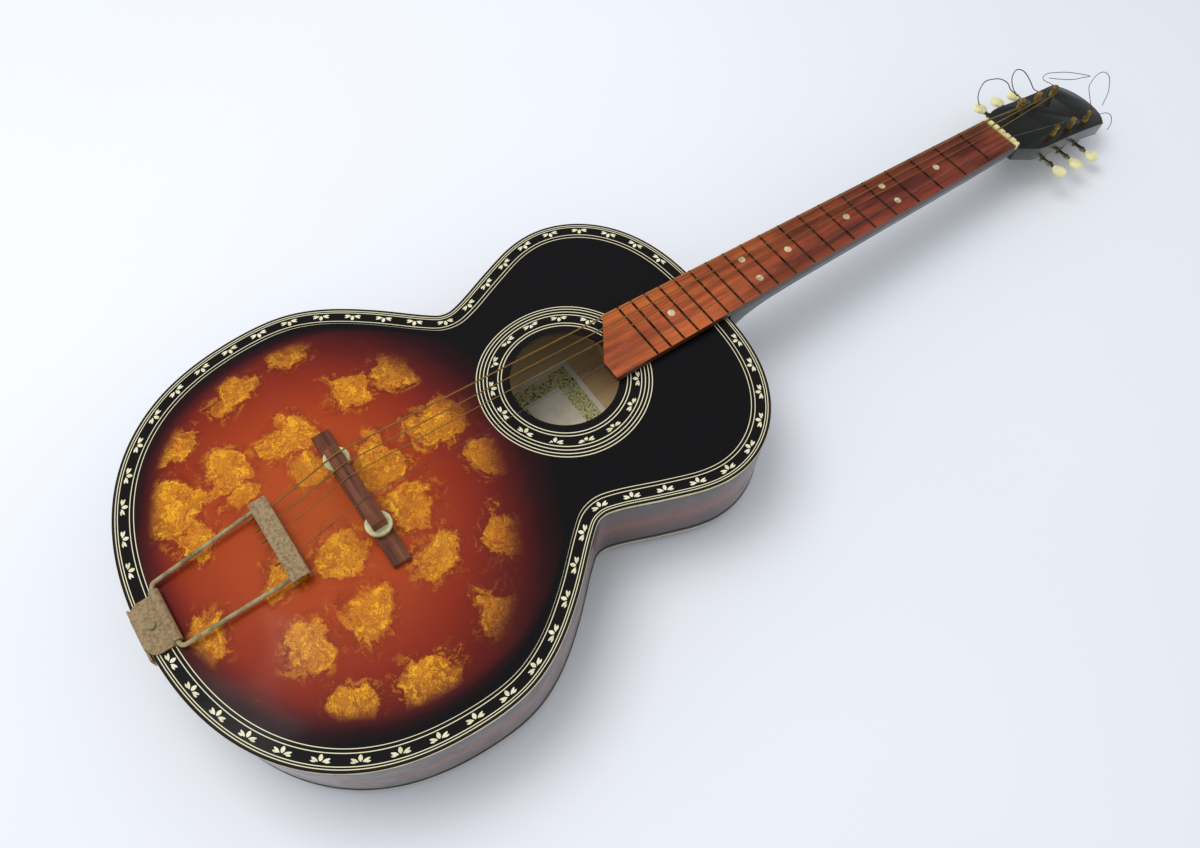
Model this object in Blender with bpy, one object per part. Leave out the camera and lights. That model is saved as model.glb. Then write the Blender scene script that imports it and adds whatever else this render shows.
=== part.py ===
# Archtop guitar with a round sound hole, floating bridge and trapeze tailpiece.
# It lies on its back: +Y runs up the neck, +X is the treble side, +Z is up.
# All sizes are metres. Shapes are drawn from the nut, whose front edge is y = 0,
# with z = 0 on the flat rim of the top, and the empty "guitar" sets them in the world.

import bpy
import bmesh
import math
import numpy as np
from mathutils import Matrix, Vector
from mathutils.bvhtree import BVHTree

# Driving dimensions: the playing length and the body
scaleLength = 0.640
fretCount = 19
joinFret = 14
bodyLength = 0.482
sideDepth = 0.0715
topArch = 0.0075
backArch = 0.0090
topThickness = 0.0032
backThickness = 0.0030
ribThickness = 0.0022
holeFromNeck = 0.143
holeRadius = 0.0415
gap = 0.0003

# Half outline of the body: distance from its neck end, and half width there
bodyShape = [
    (0.0, 0.0), (0.004, 0.058), (0.030, 0.111), (0.085, 0.137), (0.124, 0.129),
    (0.157, 0.115), (0.178, 0.108), (0.193, 0.1115), (0.223, 0.138), (0.268, 0.170),
    (0.327, 0.181), (0.391, 0.168), (0.444, 0.128), (0.474, 0.067), (0.482, 0.0),
]
outlineSteps = 52
straightShare = 3.0

# Arching: how far in from the flat border each plate takes to rise. The top's rings lie at
# shares of the way out to that border, the back's at shares of its rise.
topSwell = 0.070
backSwell = 0.042
crownRadius = 0.012
topRings = (0.0, 0.34, 0.62, 0.82, 1.0)
backRings = (1.0, 0.70, 0.42, 0.18)

# Trim and lining around the rim, and how far its ends stop short of the middle line
bindingWidth = 0.0018
bindingHeight = 0.0060
plateInset = 0.0021
ribInset = 0.0004
ribNeckEnd = 0.0135
liningDepth = 0.0060
liningHeight = 0.0115
liningNeckEnd = 0.0335
liningTailEnd = 0.0300
borderWidth = 0.0140

# Ladder braces: where each crosses the body, their section and their thinned ends
topBracePlaces = (-0.4435, -0.5480, -0.7250)
backBracePlaces = (-0.4250, -0.5600, -0.7150)
topBraceHeight = 0.011
backBraceHeight = 0.010
braceHalfWidth = 0.0035
braceSpans = 12
braceClearance = 0.0013
braceThinning = 0.030
braceEndShare = 0.35
braceEndGap = 0.0020

# Inner blocks, and how far the curved ends of the rim push them in
neckBlockHalfWidth = 0.032
neckBlockLength = 0.040
neckBlockSetback = 0.0042
endBlockHalfWidth = 0.028
endBlockLength = 0.018
endBlockSetback = 0.0048

# Neck and fingerboard: the board's top falls away from the body
nutWidth = 0.0405
boardWidthAtLastFret = 0.0535
boardThickness = 0.0055
boardTopAtJoin = 0.0075
boardSlope = -0.070
boardEnd = -0.466
boardBassEnd = -0.4404
boardStepX = 0.0102
fretHeight = 0.0009
fretHalfWidth = 0.0010
heelDepth = 0.064
tenonDepth = 0.012
tenonBottom = -0.055
tenonFrontHalf = 0.0105
tenonBackHalf = 0.0130
supportPlaces = (-0.3880, -0.4050, -0.4220, -0.4390, -0.4520)
supportInset = 0.0015
supportTongueHalf = 0.012

# Nut, notched for six strings
nutThickness = 0.0048
nutTopAboveBoard = 0.0019
nutShoulderDrop = 0.0008
notchDepth = 0.0011
notchHalfTop = 0.0012
notchHalfBottom = 0.0007

# Sections of the neck's shaft: place, depth, fullness, and drop below the board
neckSections = [
    (nutThickness + 0.016, 0.0100, 0.80, 0.0040), (nutThickness - gap, 0.0165, 0.80, 0.0),
    (-0.060, 0.0195, 0.75, 0.0), (-0.180, 0.0205, 0.75, 0.0), (-0.280, 0.0220, 0.75, 0.0),
    (-0.308, 0.0270, 0.80, 0.0), (-0.328, 0.0390, 0.90, 0.0), (-0.342, 0.0540, 0.95, 0.0),
]

# Headstock, tilted back from the neck: half width and distance from the nut
headTilt = math.radians(12.0)
headThickness = 0.0130
headShape = [
    (0.0203, 0.0), (0.0240, 0.009), (0.0295, 0.022), (0.0315, 0.036), (0.0310, 0.062),
    (0.0315, 0.100), (0.0330, 0.131), (0.0255, 0.1390), (0.0135, 0.1450), (0.0, 0.1470),
]
headStraightSpans = (5, 6)

# String posts, each with a gear of teeth that lean like the worm's thread
postX = 0.0215
postRows = (0.056, 0.0845, 0.113)
postRadius = 0.0029
postTop = 0.0110
postBoreGap = 0.0005
grooveRadius = 0.0023
grooveLow = 0.0050
grooveHigh = 0.0070
grooveFlare = 0.0018
hubRadius = 0.0036
hubHalfLength = 0.0025
gearTeeth = 14
gearPitchRadius = 0.0070
gearTipRadius = 0.0075
gearRootRadius = 0.0061
gearThickness = 0.0032
toothTipShare = 0.08
toothRootShare = 0.30
machineDrop = 0.0183

# Worms and shafts, measured along the shaft from the post's line outwards
wormLead = 2 * math.pi * gearPitchRadius / gearTeeth
wormCrestRadius = 0.0030
wormRootRadius = 0.00175
wormTurns = 3
wormSteps = 8
wormSpacing = 0.0097
wormShoulder = 0.0006
shaftRadius = 0.0017
shaftTipRadius = 0.0015
journalLength = 0.0024
collarRadius = 0.0026
collarStart = 0.0165
collarEnd = 0.0195

# Machine plates on the headstock's back, with lugs round the shafts
plateThickness = 0.0012
plateInnerX = 0.0115
plateOuterX = 0.0300
plateBefore = 0.0185
plateAfter = 0.0105
lugThickness = 0.0013
lugRadius = 0.0036
lugPlaces = (-0.0095, 0.0079)
lugBore = 0.0021

# Oval buttons: their middle, half sizes, and the neck that the shaft enters
buttonX = 0.0515
buttonLong = 0.0090
buttonShort = 0.0064
buttonThick = 0.0040
buttonNeckRadius = 0.0028
buttonNeckLength = 0.0012

# Floating bridge with two thumbwheels
bridgeY = -0.669
bridgeX = 0.0
baseHalfLength = 0.0600
baseDepth = 0.0135
baseSpans = 12
baseStepX = 0.0415
baseStepRun = 0.006
baseStepTop = 0.0142
baseEndTop = 0.0118
baseBoreBottom = 0.0105
wheelX = 0.0300
wheelRadius = 0.0096
wheelBore = 0.0024
wheelThickness = 0.0032
wheelBottom = 0.0172
wheelChamfer = 0.0006
wheelSteps = 18
threadRadius = 0.0020
postChamfer = 0.0005
postSeat = 0.0004
postReach = 0.0050
saddleBoreDepth = 0.0077
saddleHalfLength = 0.0345
saddleDepth = 0.0110
saddleTop = 0.0330
saddleBottom = wheelBottom + wheelThickness + gap
saddleCamber = 0.0016
saddleFrontBevel = 0.0030
saddleBackFall = 0.0024
crestInset = 0.0036
crestHalfWidth = 0.0015
crestRounding = 0.0004

# Tail bracket: a sheet over the rim that is rolled round the wire and bent down the tail
barrelY = -0.8145
barrelZ = 0.0046
barrelRadius = 0.0036
barrelBore = 0.0022
rollSteps = 9
rollOuterFrom = math.radians(-148.0)
rollOuterSweep = math.radians(306.0)
rollInnerFrom = math.radians(-134.0)
rollInnerSweep = math.radians(286.0)
bracketHalfWidth = 0.0205
bracketThickness = 0.0015
bracketLegBottom = -0.040
bracketCorner = 0.0085
bracketFoldRound = 0.0013
legHalfWidth = 0.0120
legTop = -0.011
rivetY = -0.8250
tailScrewZ = -0.026
fastenerHole = 0.0018
fastenerProfile = (
    (0.0014, 0.0), (0.0014, 0.0016), (0.0030, 0.0019), (0.0027, 0.0029), (0.0012, 0.0035),
)

# Trapeze: a bent wire and the folded bar that holds the strings' balls
wireRadius = 0.0016
wireBend = 0.0045
wireEndInset = 0.0045
wireEndBack = 0.0040
barY = -0.7290
barHalfLength = 0.0340
barHalfDepth = 0.0066
barTop = 0.0190
barBottom = 0.0118
barWall = 0.0014
barChamfer = 0.0008
slotHalfWidth = 0.0013
wireSlotHalfWidth = 0.0024

# Strings that are still on: index 0 is the low one, six places across
stringPlaces = {"string_low_e": 0, "string_a": 1, "string_d": 2, "string_b": 4}
stringRadii = {
    "string_low_e": 0.00062, "string_a": 0.00048, "string_d": 0.00038, "string_b": 0.00022,
}
nutSpread = 0.0340
saddleSpread = 0.0520
barSpread = 0.0500
ballRadius = 0.0019
ballGap = 0.0004
ballLength = 0.0036
ballZ = 0.0142
slotExitZ = 0.0160
stringSides = 5

# Paper sheet under the sound hole
labelBass = -0.058
labelTreble = 0.034
labelTail = -0.530
labelNeck = -0.456
labelThickness = 0.0004
labelSpans = 8

# Where the nut's front edge stands in the world
worldY = 0.34475
worldZ = sideDepth + backArch

bodyTopY = -0.352
bodyTailY = bodyTopY - bodyLength
holeY = bodyTopY - holeFromNeck

for old in list(bpy.data.objects):
    bpy.data.objects.remove(old, do_unlink=True)

collection = bpy.context.scene.collection
guitar = bpy.data.objects.new("guitar", None)
guitar.location = (0.0, worldY, worldZ)
collection.objects.link(guitar)


def finish(red, green, blue, roughness, metallic=0.0):
    """A piece's colour and sheen."""
    return {"colour": (red, green, blue, 1.0), "roughness": roughness, "metallic": metallic}


def paint(name, look):
    """The piece's own Principled material."""
    material = bpy.data.materials.new(name)
    material.use_nodes = True
    shader = material.node_tree.nodes["Principled BSDF"]
    shader.inputs["Base Color"].default_value = look["colour"]
    shader.inputs["Roughness"].default_value = look["roughness"]
    shader.inputs["Metallic"].default_value = look["metallic"]
    return material


def addMesh(name, mesh, look, origin=(0.0, 0.0, 0.0), parent=guitar):
    """Links a mesh as an object whose origin is moved to the given point."""
    mesh.transform(Matrix.Translation(-Vector(origin)))
    mesh.materials.clear()
    mesh.materials.append(paint(name, look))
    mesh.shade_smooth()
    mesh.set_sharp_from_angle(angle=math.radians(32.0))
    piece = bpy.data.objects.new(name, mesh)
    piece.location = origin
    piece.parent = parent
    collection.objects.link(piece)


def meshFrom(name, points, faces):
    """A closed mesh with its faces turned outwards."""
    bm = bmesh.new()
    corners = [bm.verts.new(p) for p in points]
    for face in faces:
        bm.faces.new([corners[i] for i in face])
    bmesh.ops.recalc_face_normals(bm, faces=bm.faces)
    mesh = bpy.data.meshes.new(name)
    bm.to_mesh(mesh)
    bm.free()
    return mesh


def loft(name, rings, closed=False):
    """Skins rings of equal count; open lofts get flat ends, closed ones meet themselves."""
    count = len(rings[0])
    points = [p for ring in rings for p in ring]
    faces = []
    last = len(rings) if closed else len(rings) - 1
    for i in range(last):
        a, b = i * count, ((i + 1) % len(rings)) * count
        for k in range(count):
            n = (k + 1) % count
            faces.append((a + k, a + n, b + n, b + k))
    if not closed:
        faces.append(tuple(range(count))[::-1])
        faces.append(tuple(range(len(points) - count, len(points))))
    return meshFrom(name, points, faces)


def prism(name, outline, low, high, axes="xyz"):
    """Extrudes a flat outline between two levels; axes says which axis each number is."""
    def place(u, v, w):
        spot = {axes[0]: u, axes[1]: v, axes[2]: w}
        return (spot["x"], spot["y"], spot["z"])
    rings = [[place(u, v, w) for u, v in outline] for w in (low, high)]
    return loft(name, rings)


def box(name, low, high):
    outline = [(low[0], low[1]), (high[0], low[1]), (high[0], high[1]), (low[0], high[1])]
    return prism(name, outline, low[2], high[2])


def roundRing(radius, height, steps, centre=(0.0, 0.0, 0.0), axis="z"):
    """A circle of points about an axis."""
    ring = []
    for k in range(steps):
        a = 2 * math.pi * k / steps
        u, v = radius * math.cos(a), radius * math.sin(a)
        spot = {"z": (u, v, height), "x": (height, u, v), "y": (u, height, v)}[axis]
        ring.append(tuple(spot[i] + centre[i] for i in range(3)))
    return ring


def turned(name, profile, steps, centre=(0.0, 0.0, 0.0), axis="z", closed=False):
    """Spins a profile of (radius, height); a closed one has a hole through its middle."""
    rings = [roundRing(radius, height, steps, centre, axis) for radius, height in profile]
    return loft(name, rings, closed)


def swept(name, route, radii, sides):
    """A round bar along a route, with its own radius at each point."""
    route = [Vector(p) for p in route]
    rings = []
    normal = None
    for i, spot in enumerate(route):
        ahead = route[min(i + 1, len(route) - 1)]
        behind = route[max(i - 1, 0)]
        tangent = (ahead - behind).normalized()
        if normal is None:
            normal = tangent.orthogonal().normalized()
        normal = (normal - tangent * normal.dot(tangent)).normalized()
        side = tangent.cross(normal)
        ring = []
        for k in range(sides):
            a = 2 * math.pi * k / sides
            ring.append(spot + (normal * math.cos(a) + side * math.sin(a)) * radii[i])
        rings.append(ring)
    return loft(name, rings)


def combine(mesh, others, operation):
    """Applies one exact Boolean after another and gives back a plain mesh."""
    body = bpy.data.objects.new("working", mesh)
    collection.objects.link(body)
    helpers = []
    for i, other in enumerate(others):
        helper = bpy.data.objects.new("cutter", other)
        helper.hide_render = True
        helper.display_type = "WIRE"
        collection.objects.link(helper)
        helpers.append(helper)
        step = body.modifiers.new("step" + str(i), "BOOLEAN")
        step.operation = operation
        step.solver = "EXACT"
        step.object = helper
    bpy.context.view_layer.update()
    evaluated = body.evaluated_get(bpy.context.evaluated_depsgraph_get())
    result = bpy.data.meshes.new_from_object(evaluated)
    for helper in helpers:
        bpy.data.objects.remove(helper, do_unlink=True)
    bpy.data.objects.remove(body, do_unlink=True)
    return result


def fretDistance(number):
    return scaleLength * (1.0 - 2.0 ** (-number / 12.0))


def boardHalfWidth(y):
    grow = (boardWidthAtLastFret - nutWidth) / fretDistance(fretCount)
    return 0.5 * (nutWidth + grow * -y)


def boardTop(y):
    return boardTopAtJoin + boardSlope * (y + fretDistance(joinFret))


def outlineRadii(angles):
    """The body outline as one smooth closed curve, in polar form about the sound hole."""
    half = [(x, bodyTopY - along - holeY) for along, x in bodyShape]
    full = half + [(-x, y) for x, y in half[-2:0:-1]]
    knots = np.array([math.atan2(x, y) % (2 * math.pi) for x, y in full])
    reach = np.array([math.hypot(x, y) for x, y in full])
    count = len(knots)
    step = np.diff(np.append(knots, knots[0] + 2 * math.pi))
    slopes = (np.roll(reach, -1) - reach) / step
    system = np.zeros((count, count))
    for i in range(count):
        system[i, i - 1] = step[i - 1]
        system[i, i] = 2 * (step[i - 1] + step[i])
        system[i, (i + 1) % count] = step[i]
    bend = np.linalg.solve(system, 6 * (slopes - np.roll(slopes, 1)))
    values = []
    for angle in angles:
        i = int(np.searchsorted(knots, angle % (2 * math.pi), side="right") - 1)
        n = (i + 1) % count
        t = (angle % (2 * math.pi)) - knots[i]
        h = step[i]
        values.append(
            bend[i] * (h - t) ** 3 / (6 * h) + bend[n] * t ** 3 / (6 * h)
            + (reach[i] / h - bend[i] * h / 6) * (h - t) + (reach[n] / h - bend[n] * h / 6) * t
        )
    return np.array(values)


def outlineSpots(angles):
    radii = outlineRadii(angles)
    return np.stack([radii * np.sin(angles), holeY + radii * np.cos(angles)], axis=1)


def spreadAngles(steps):
    """Angles about the sound hole, closer together where the outline turns faster."""
    fine = np.linspace(0.0, 2 * math.pi, 721)
    runs = np.diff(outlineSpots(fine), axis=0)
    lengths = np.linalg.norm(runs, axis=1)
    headings = np.arctan2(runs[:, 1], runs[:, 0])
    turns = np.abs((np.roll(headings, -1) - headings + math.pi) % (2 * math.pi) - math.pi)
    curvature = 0.5 * (turns + np.roll(turns, 1)) / lengths
    weight = np.cumsum(lengths * np.sqrt(curvature + straightShare))
    weight = np.concatenate([[0.0], weight])
    return np.interp(np.arange(steps) * weight[-1] / steps, weight, fine)


rimAngles = spreadAngles(outlineSteps)


def outlinePoints(inset, angles=rimAngles):
    """The body outline moved inwards by a distance, as (x, y) pairs from the neck round."""
    edge = outlineSpots(angles)
    along = np.roll(edge, -1, axis=0) - np.roll(edge, 1, axis=0)
    along /= np.linalg.norm(along, axis=1)[:, None]
    inward = np.stack([along[:, 1], -along[:, 0]], axis=1)
    return edge + inward * inset


fineOutline = outlineSpots(np.arange(400) * 2 * math.pi / 400)
fineMiddles = 0.5 * (fineOutline + np.roll(fineOutline, -1, axis=0))
fineLengths = np.linalg.norm(np.roll(fineOutline, -1, axis=0) - fineOutline, axis=1)


def depthAt(x, y):
    """How far inside the outline a point lies, blended over all of it to have no creases."""
    away = np.hypot(fineMiddles[:, 0] - x, fineMiddles[:, 1] - y)
    return math.sqrt(2.0 / float(np.sum(fineLengths / away ** 3)))


def swell(x, y, span):
    """0 on the flat border and 1 where the plate is fully arched."""
    t = min(max((depthAt(x, y) - borderWidth) / span, 0.0), 1.0)
    return t * t * (3.0 - 2.0 * t)


def topZ(x, y):
    return topArch * swell(x, y, topSwell)


def backZ(x, y):
    return -sideDepth - backArch * swell(x, y, backSwell)


def plateRings(innerRadius, shares):
    """Rings of (x, y) from round the sound hole out to the flat border and the edge."""
    border = outlinePoints(borderWidth)
    rings = []
    for share in shares:
        ring = []
        for x, y in border:
            reach = math.hypot(x, y - holeY)
            r = innerRadius + (reach - innerRadius) * share
            ring.append((x * r / reach, holeY + (y - holeY) * r / reach))
        rings.append(ring)
    rings.append([tuple(p) for p in outlinePoints(plateInset)])
    return rings


def depthRing(depth):
    """A ring of (x, y) that lies one depth inside the outline all the way round."""
    ring = []
    for x, y in outlinePoints(borderWidth):
        near, far = 0.0, 1.0
        for _ in range(16):
            share = 0.5 * (near + far)
            if depthAt(x * share, holeY + (y - holeY) * share) > depth:
                near = share
            else:
                far = share
        ring.append((x * near, holeY + (y - holeY) * near))
    return ring


def surfaceReader(mesh, upwards):
    """A function that measures a plate's height at (x, y), seen from below or from above."""
    tree = BVHTree.FromPolygons([v.co for v in mesh.vertices], [p.vertices for p in mesh.polygons])
    heights = [v.co.z for v in mesh.vertices]
    start = min(heights) - 0.01 if upwards else max(heights) + 0.01
    direction = Vector((0.0, 0.0, 1.0 if upwards else -1.0))

    def read(x, y):
        return tree.ray_cast(Vector((x, y, start)), direction)[0].z
    return read


def makeTopPlate(look):
    rings = plateRings(holeRadius, topRings)
    upper = [[(x, y, topZ(x, y)) for x, y in ring] for ring in rings]
    lower = [[(x, y, topZ(x, y) - topThickness) for x, y in ring] for ring in rings[::-1]]
    mesh = loft("top_plate", upper + lower, closed=True)
    readers = surfaceReader(mesh, False), surfaceReader(mesh, True)
    addMesh("top_plate", mesh, look)
    return readers


def makeBackPlate(look):
    crown, border, edge = plateRings(crownRadius, (0.0, 1.0))
    slope = [depthRing(borderWidth + backSwell * share) for share in backRings]
    rings = [crown] + slope + [border, edge]
    outside = [[(x, y, backZ(x, y)) for x, y in ring] for ring in rings]
    inside = [[(x, y, backZ(x, y) + backThickness) for x, y in ring] for ring in rings[::-1]]
    mesh = loft("back_plate", outside + inside)
    reader = surfaceReader(mesh, False)
    addMesh("back_plate", mesh, look)
    return reader


def crossing(points, x):
    """The point where a stretch of outline, leaving the centre line, first reaches x."""
    for (x0, y0), (x1, y1) in zip(points, points[1:]):
        if x1 > x:
            return (x, y0 + (y1 - y0) * (x - x0) / (x1 - x0))


def rimArc(side, insets, startX, endX):
    """Closed (x, y) outline of a strip along one side of the body."""
    strips = []
    for inset in insets:
        half = [tuple(p) for p in outlinePoints(inset)[:outlineSteps // 2 + 1]]
        half[0], half[-1] = (0.0, half[0][1]), (0.0, half[-1][1])
        first, last = crossing(half, startX), crossing(half[::-1], endX)
        strip = [(x, y) for x, y in half if x > (startX if y > holeY else endX)]
        strips.append([(side * x, y) for x, y in [first] + strip + [last]])
    return strips[0] + strips[1][::-1]


def makeRim(ribLook, liningLook):
    for side, word in ((-1, "bass"), (1, "treble")):
        outline = rimArc(side, (ribInset, ribInset + ribThickness), ribNeckEnd, gap)
        low, high = -sideDepth + bindingHeight + gap, -bindingHeight - gap
        addMesh("rib_" + word, prism("rib", outline, low, high), ribLook)
        face = ribInset + ribThickness + gap
        outline = rimArc(side, (face, face + liningDepth), liningNeckEnd, liningTailEnd)
        high = -topThickness - gap
        lining = prism("lining", outline, high - liningHeight, high)
        addMesh("top_lining_" + word, lining, liningLook)
        low = -sideDepth + backThickness + gap
        lining = prism("lining", outline, low, low + liningHeight)
        addMesh("back_lining_" + word, lining, liningLook)


def makeBindings(look):
    outer, inner = outlinePoints(0.0), outlinePoints(bindingWidth)
    for name, high in (("top_binding", 0.0), ("back_binding", -sideDepth + bindingHeight)):
        low = high - bindingHeight
        rings = []
        for (ox, oy), (ix, iy) in zip(outer, inner):
            rings.append([(ox, oy, high), (ix, iy, high), (ix, iy, low), (ox, oy, low)])
        addMesh(name, loft(name, rings, closed=True), look)


def halfWidthAt(y, inset):
    """Half width of the body across one place."""
    half = outlinePoints(inset)[1:outlineSteps // 2]
    order = np.argsort(half[:, 1])
    return float(np.interp(y, half[order, 1], half[order, 0]))


def makeBrace(name, y, surface, side, height, look):
    """A ladder brace that follows the inside of an arched plate, thinned at its ends."""
    inset = ribInset + ribThickness + liningDepth + braceEndGap
    edges = (y - braceHalfWidth, y + braceHalfWidth)
    reach = min(halfWidthAt(edge, inset) for edge in edges)
    section = [
        (-1.0, 0.0), (1.0, 0.0), (0.85, 0.70), (0.35, 1.0), (-0.35, 1.0), (-0.85, 0.70),
    ]
    rings = []
    for k in range(braceSpans + 1):
        x = reach * (2.0 * k / braceSpans - 1.0)
        highest = max(side * surface(x, row) for row in (edges[0], y, edges[1]))
        root = side * (braceClearance + highest)
        fullness = min(1.0, (reach - abs(x)) / braceThinning)
        tall = height * (braceEndShare + (1.0 - braceEndShare) * fullness)
        ring = [(x, y + across * braceHalfWidth, root + side * tall * up) for across, up in section]
        rings.append(ring)
    addMesh(name, loft(name, rings), look)


def makeBracing(underTop, insideBack, look):
    for number, y in enumerate(topBracePlaces):
        makeBrace("top_brace_" + str(number + 1), y, underTop, -1, topBraceHeight, look)
    for number, y in enumerate(backBracePlaces):
        makeBrace("back_brace_" + str(number + 1), y, insideBack, 1, backBraceHeight, look)


def tenonShape(name, grow, top):
    """Dovetail that is wider at its inner end."""
    front, back = bodyTopY + 0.002, bodyTopY - tenonDepth - grow
    narrow, wide = tenonFrontHalf + grow, tenonBackHalf + grow
    outline = [(-narrow, front), (narrow, front), (wide, back), (-wide, back)]
    return prism(name, outline, tenonBottom - grow, top)


def makeBlocks(look):
    high = -topThickness - gap
    low = -sideDepth + backThickness + gap
    front = bodyTopY - neckBlockSetback
    near = (-neckBlockHalfWidth, front - neckBlockLength, low)
    block = box("neck_block", near, (neckBlockHalfWidth, front, high))
    slot = tenonShape("slot", gap, high + 0.001)
    addMesh("neck_block", combine(block, [slot], "DIFFERENCE"), look)
    tail = bodyTailY + endBlockSetback
    far = (endBlockHalfWidth, tail + endBlockLength, high)
    addMesh("end_block", box("end_block", (-endBlockHalfWidth, tail, low), far), look)


def neckRing(y, depth, fullness, drop):
    """Half round of the neck's shaft under the board."""
    half = boardHalfWidth(y)
    top = boardTop(y) - boardThickness - gap - drop
    ring = []
    for k in range(11):
        a = math.pi * k / 10
        ring.append((-half * math.cos(a), y, top - depth * math.sin(a) ** fullness))
    return ring


def headPoint(x, along, up):
    """A point in the tilted headstock's own frame, seen from the nut."""
    startY = nutThickness
    startZ = boardTop(0.0) - boardThickness - gap
    return (
        x,
        startY + along * math.cos(headTilt) + up * math.sin(headTilt),
        startZ - along * math.sin(headTilt) + up * math.cos(headTilt),
    )


def headOutline():
    """The headstock's outline, smoothed along its flared sides."""
    half = headShape
    points = []
    for i in range(len(half) - 1):
        p0, p1 = half[max(i - 1, 0)], half[i]
        p2, p3 = half[i + 1], half[min(i + 2, len(half) - 1)]
        for t in ((0.0,) if i in headStraightSpans else (0.0, 0.5)):
            point = []
            for a, b, c, d in zip(p0, p1, p2, p3):
                square, cube = 2 * a - 5 * b + 4 * c - d, 3 * b - a - 3 * c + d
                point.append(0.5 * (2 * b + (c - a) * t + square * t * t + cube * t ** 3))
            points.append(tuple(point))
    points.append(half[-1])
    return [(-x, y) for x, y in points[:-1]] + [points[-1]] + points[-2::-1]


def makeNeck(look):
    sections = neckSections + [(bodyTopY + 0.0005, heelDepth, 0.95, 0.0)]
    shaft = loft("neck", [neckRing(*s) for s in sections])
    outline = headOutline()
    faceRing = [headPoint(x, along, 0.0) for x, along in outline]
    backRing = [headPoint(x, along, -headThickness) for x, along in outline]
    head = loft("head", [faceRing, backRing])
    tenon = tenonShape("tenon", 0.0, -bindingHeight - gap)
    whole = combine(shaft, [head, tenon], "UNION")
    bores = []
    for side in (-1, 1):
        for row in postRows:
            rings = []
            for up in (0.004, -headThickness - 0.004):
                flat = roundRing(postRadius + postBoreGap, up, 8, (side * postX, row, 0.0))
                rings.append([headPoint(*p) for p in flat])
            bores.append(loft("bore", rings))
    addMesh("neck", combine(whole, bores, "DIFFERENCE"), look)


def makeFingerboard(look):
    """The board and its frets, as ridges across its top, with a stepped end over the hole."""
    stations = [(0.0, 0.0)]
    for number in range(1, fretCount + 1):
        y = -fretDistance(number)
        for offset, rise in ((1.0, 0.0), (0.0, 1.0), (-1.0, 0.0)):
            stations.append((y + offset * fretHalfWidth, rise * fretHeight))
    stations.append((boardEnd, 0.0))
    rings = []
    for y, rise in stations:
        half, high = boardHalfWidth(y), boardTop(y) + rise
        low = boardTop(y) - boardThickness
        rings.append([(-half, y, low), (half, y, low), (half, y, high), (-half, y, high)])
    board = loft("fingerboard", rings)
    bass = -boardHalfWidth(boardBassEnd)
    beyond = boardEnd - 0.01
    corner = [
        (boardStepX, boardEnd), (bass, boardBassEnd), (bass - 0.01, boardBassEnd),
        (bass - 0.01, beyond), (boardStepX, beyond),
    ]
    cut = prism("corner", corner, -0.01, 0.04)
    addMesh("fingerboard", combine(board, [cut], "DIFFERENCE"), look)


def makeSupport(onTop, look):
    """The black ledge under the board, between the body's edge and the sound hole."""
    rings = []
    for y in supportPlaces:
        half = boardHalfWidth(y) - supportInset
        if y < boardBassEnd:
            half = min(half, supportTongueHalf)
        high = boardTop(y) - boardThickness - gap
        ring = [(-half, y, high), (half, y, high)]
        for x in (half, 0.0, -half):
            ring.append((x, y, max(onTop(x, y), onTop(0.0, y)) + gap))
        rings.append(ring)
    addMesh("board_support", loft("board_support", rings), look)


def stringX(place, spread):
    return spread * (place / 5.0 - 0.5)


def makeNut(look):
    half = 0.5 * nutWidth
    low = boardTop(0.0) - boardThickness
    high = boardTop(0.0) + nutTopAboveBoard
    outline = [(-half, low), (half, low), (half, high - nutShoulderDrop)]
    for place in range(5, -1, -1):
        x = stringX(place, nutSpread)
        outline += [(x + notchHalfTop, high), (x + notchHalfBottom, high - notchDepth)]
        outline += [(x - notchHalfBottom, high - notchDepth), (x - notchHalfTop, high)]
    outline.append((-half, high - nutShoulderDrop))
    addMesh("nut", prism("nut", outline, gap, nutThickness - gap, axes="xzy"), look)


def makeLabel(insideBack, look):
    """A plain paper sheet glued inside the back, seen through the sound hole."""
    rings = []
    for x in np.linspace(labelBass, labelTreble, labelSpans + 1):
        rows = np.linspace(labelTail - 0.002, labelNeck + 0.002, 9)
        low = 2 * gap + max(insideBack(x, y) for y in rows)
        high = low + labelThickness
        outline = [(labelTail, low), (labelNeck, low), (labelNeck, high), (labelTail, high)]
        rings.append([(x, y, z) for y, z in outline])
    addMesh("label", loft("label", rings), look)


def threadBores(bottom, top):
    """Cutters for the two bores that the bridge's posts stand in."""
    profile = [(threadRadius + gap, bottom), (threadRadius + gap, top)]
    spots = [(bridgeX + side * wheelX, bridgeY, 0.0) for side in (-1, 1)]
    return [turned("bore", profile, 12, spot) for spot in spots]


def makeBridgeBase(onTop, look):
    """The foot: its underside follows the top, and its ends step down."""
    rows = (bridgeY - 0.5 * baseDepth, bridgeY, bridgeY + 0.5 * baseDepth)
    outline = []
    for k in range(baseSpans + 1):
        x = bridgeX + baseHalfLength * (2.0 * k / baseSpans - 1.0)
        outline.append((x, gap + max(onTop(x, row) for row in rows)))
    over = [
        (baseHalfLength, baseEndTop), (baseStepX + baseStepRun, baseEndTop + 0.0006),
        (baseStepX, baseStepTop),
    ]
    outline += [(bridgeX + x, z) for x, z in over]
    outline += [(bridgeX - x, z) for x, z in over[::-1]]
    base = prism("bridge_base", outline, rows[0], rows[2], axes="xzy")
    bores = threadBores(baseBoreBottom, baseStepTop + 0.006)
    addMesh("bridge_base", combine(base, bores, "DIFFERENCE"), look)


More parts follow.
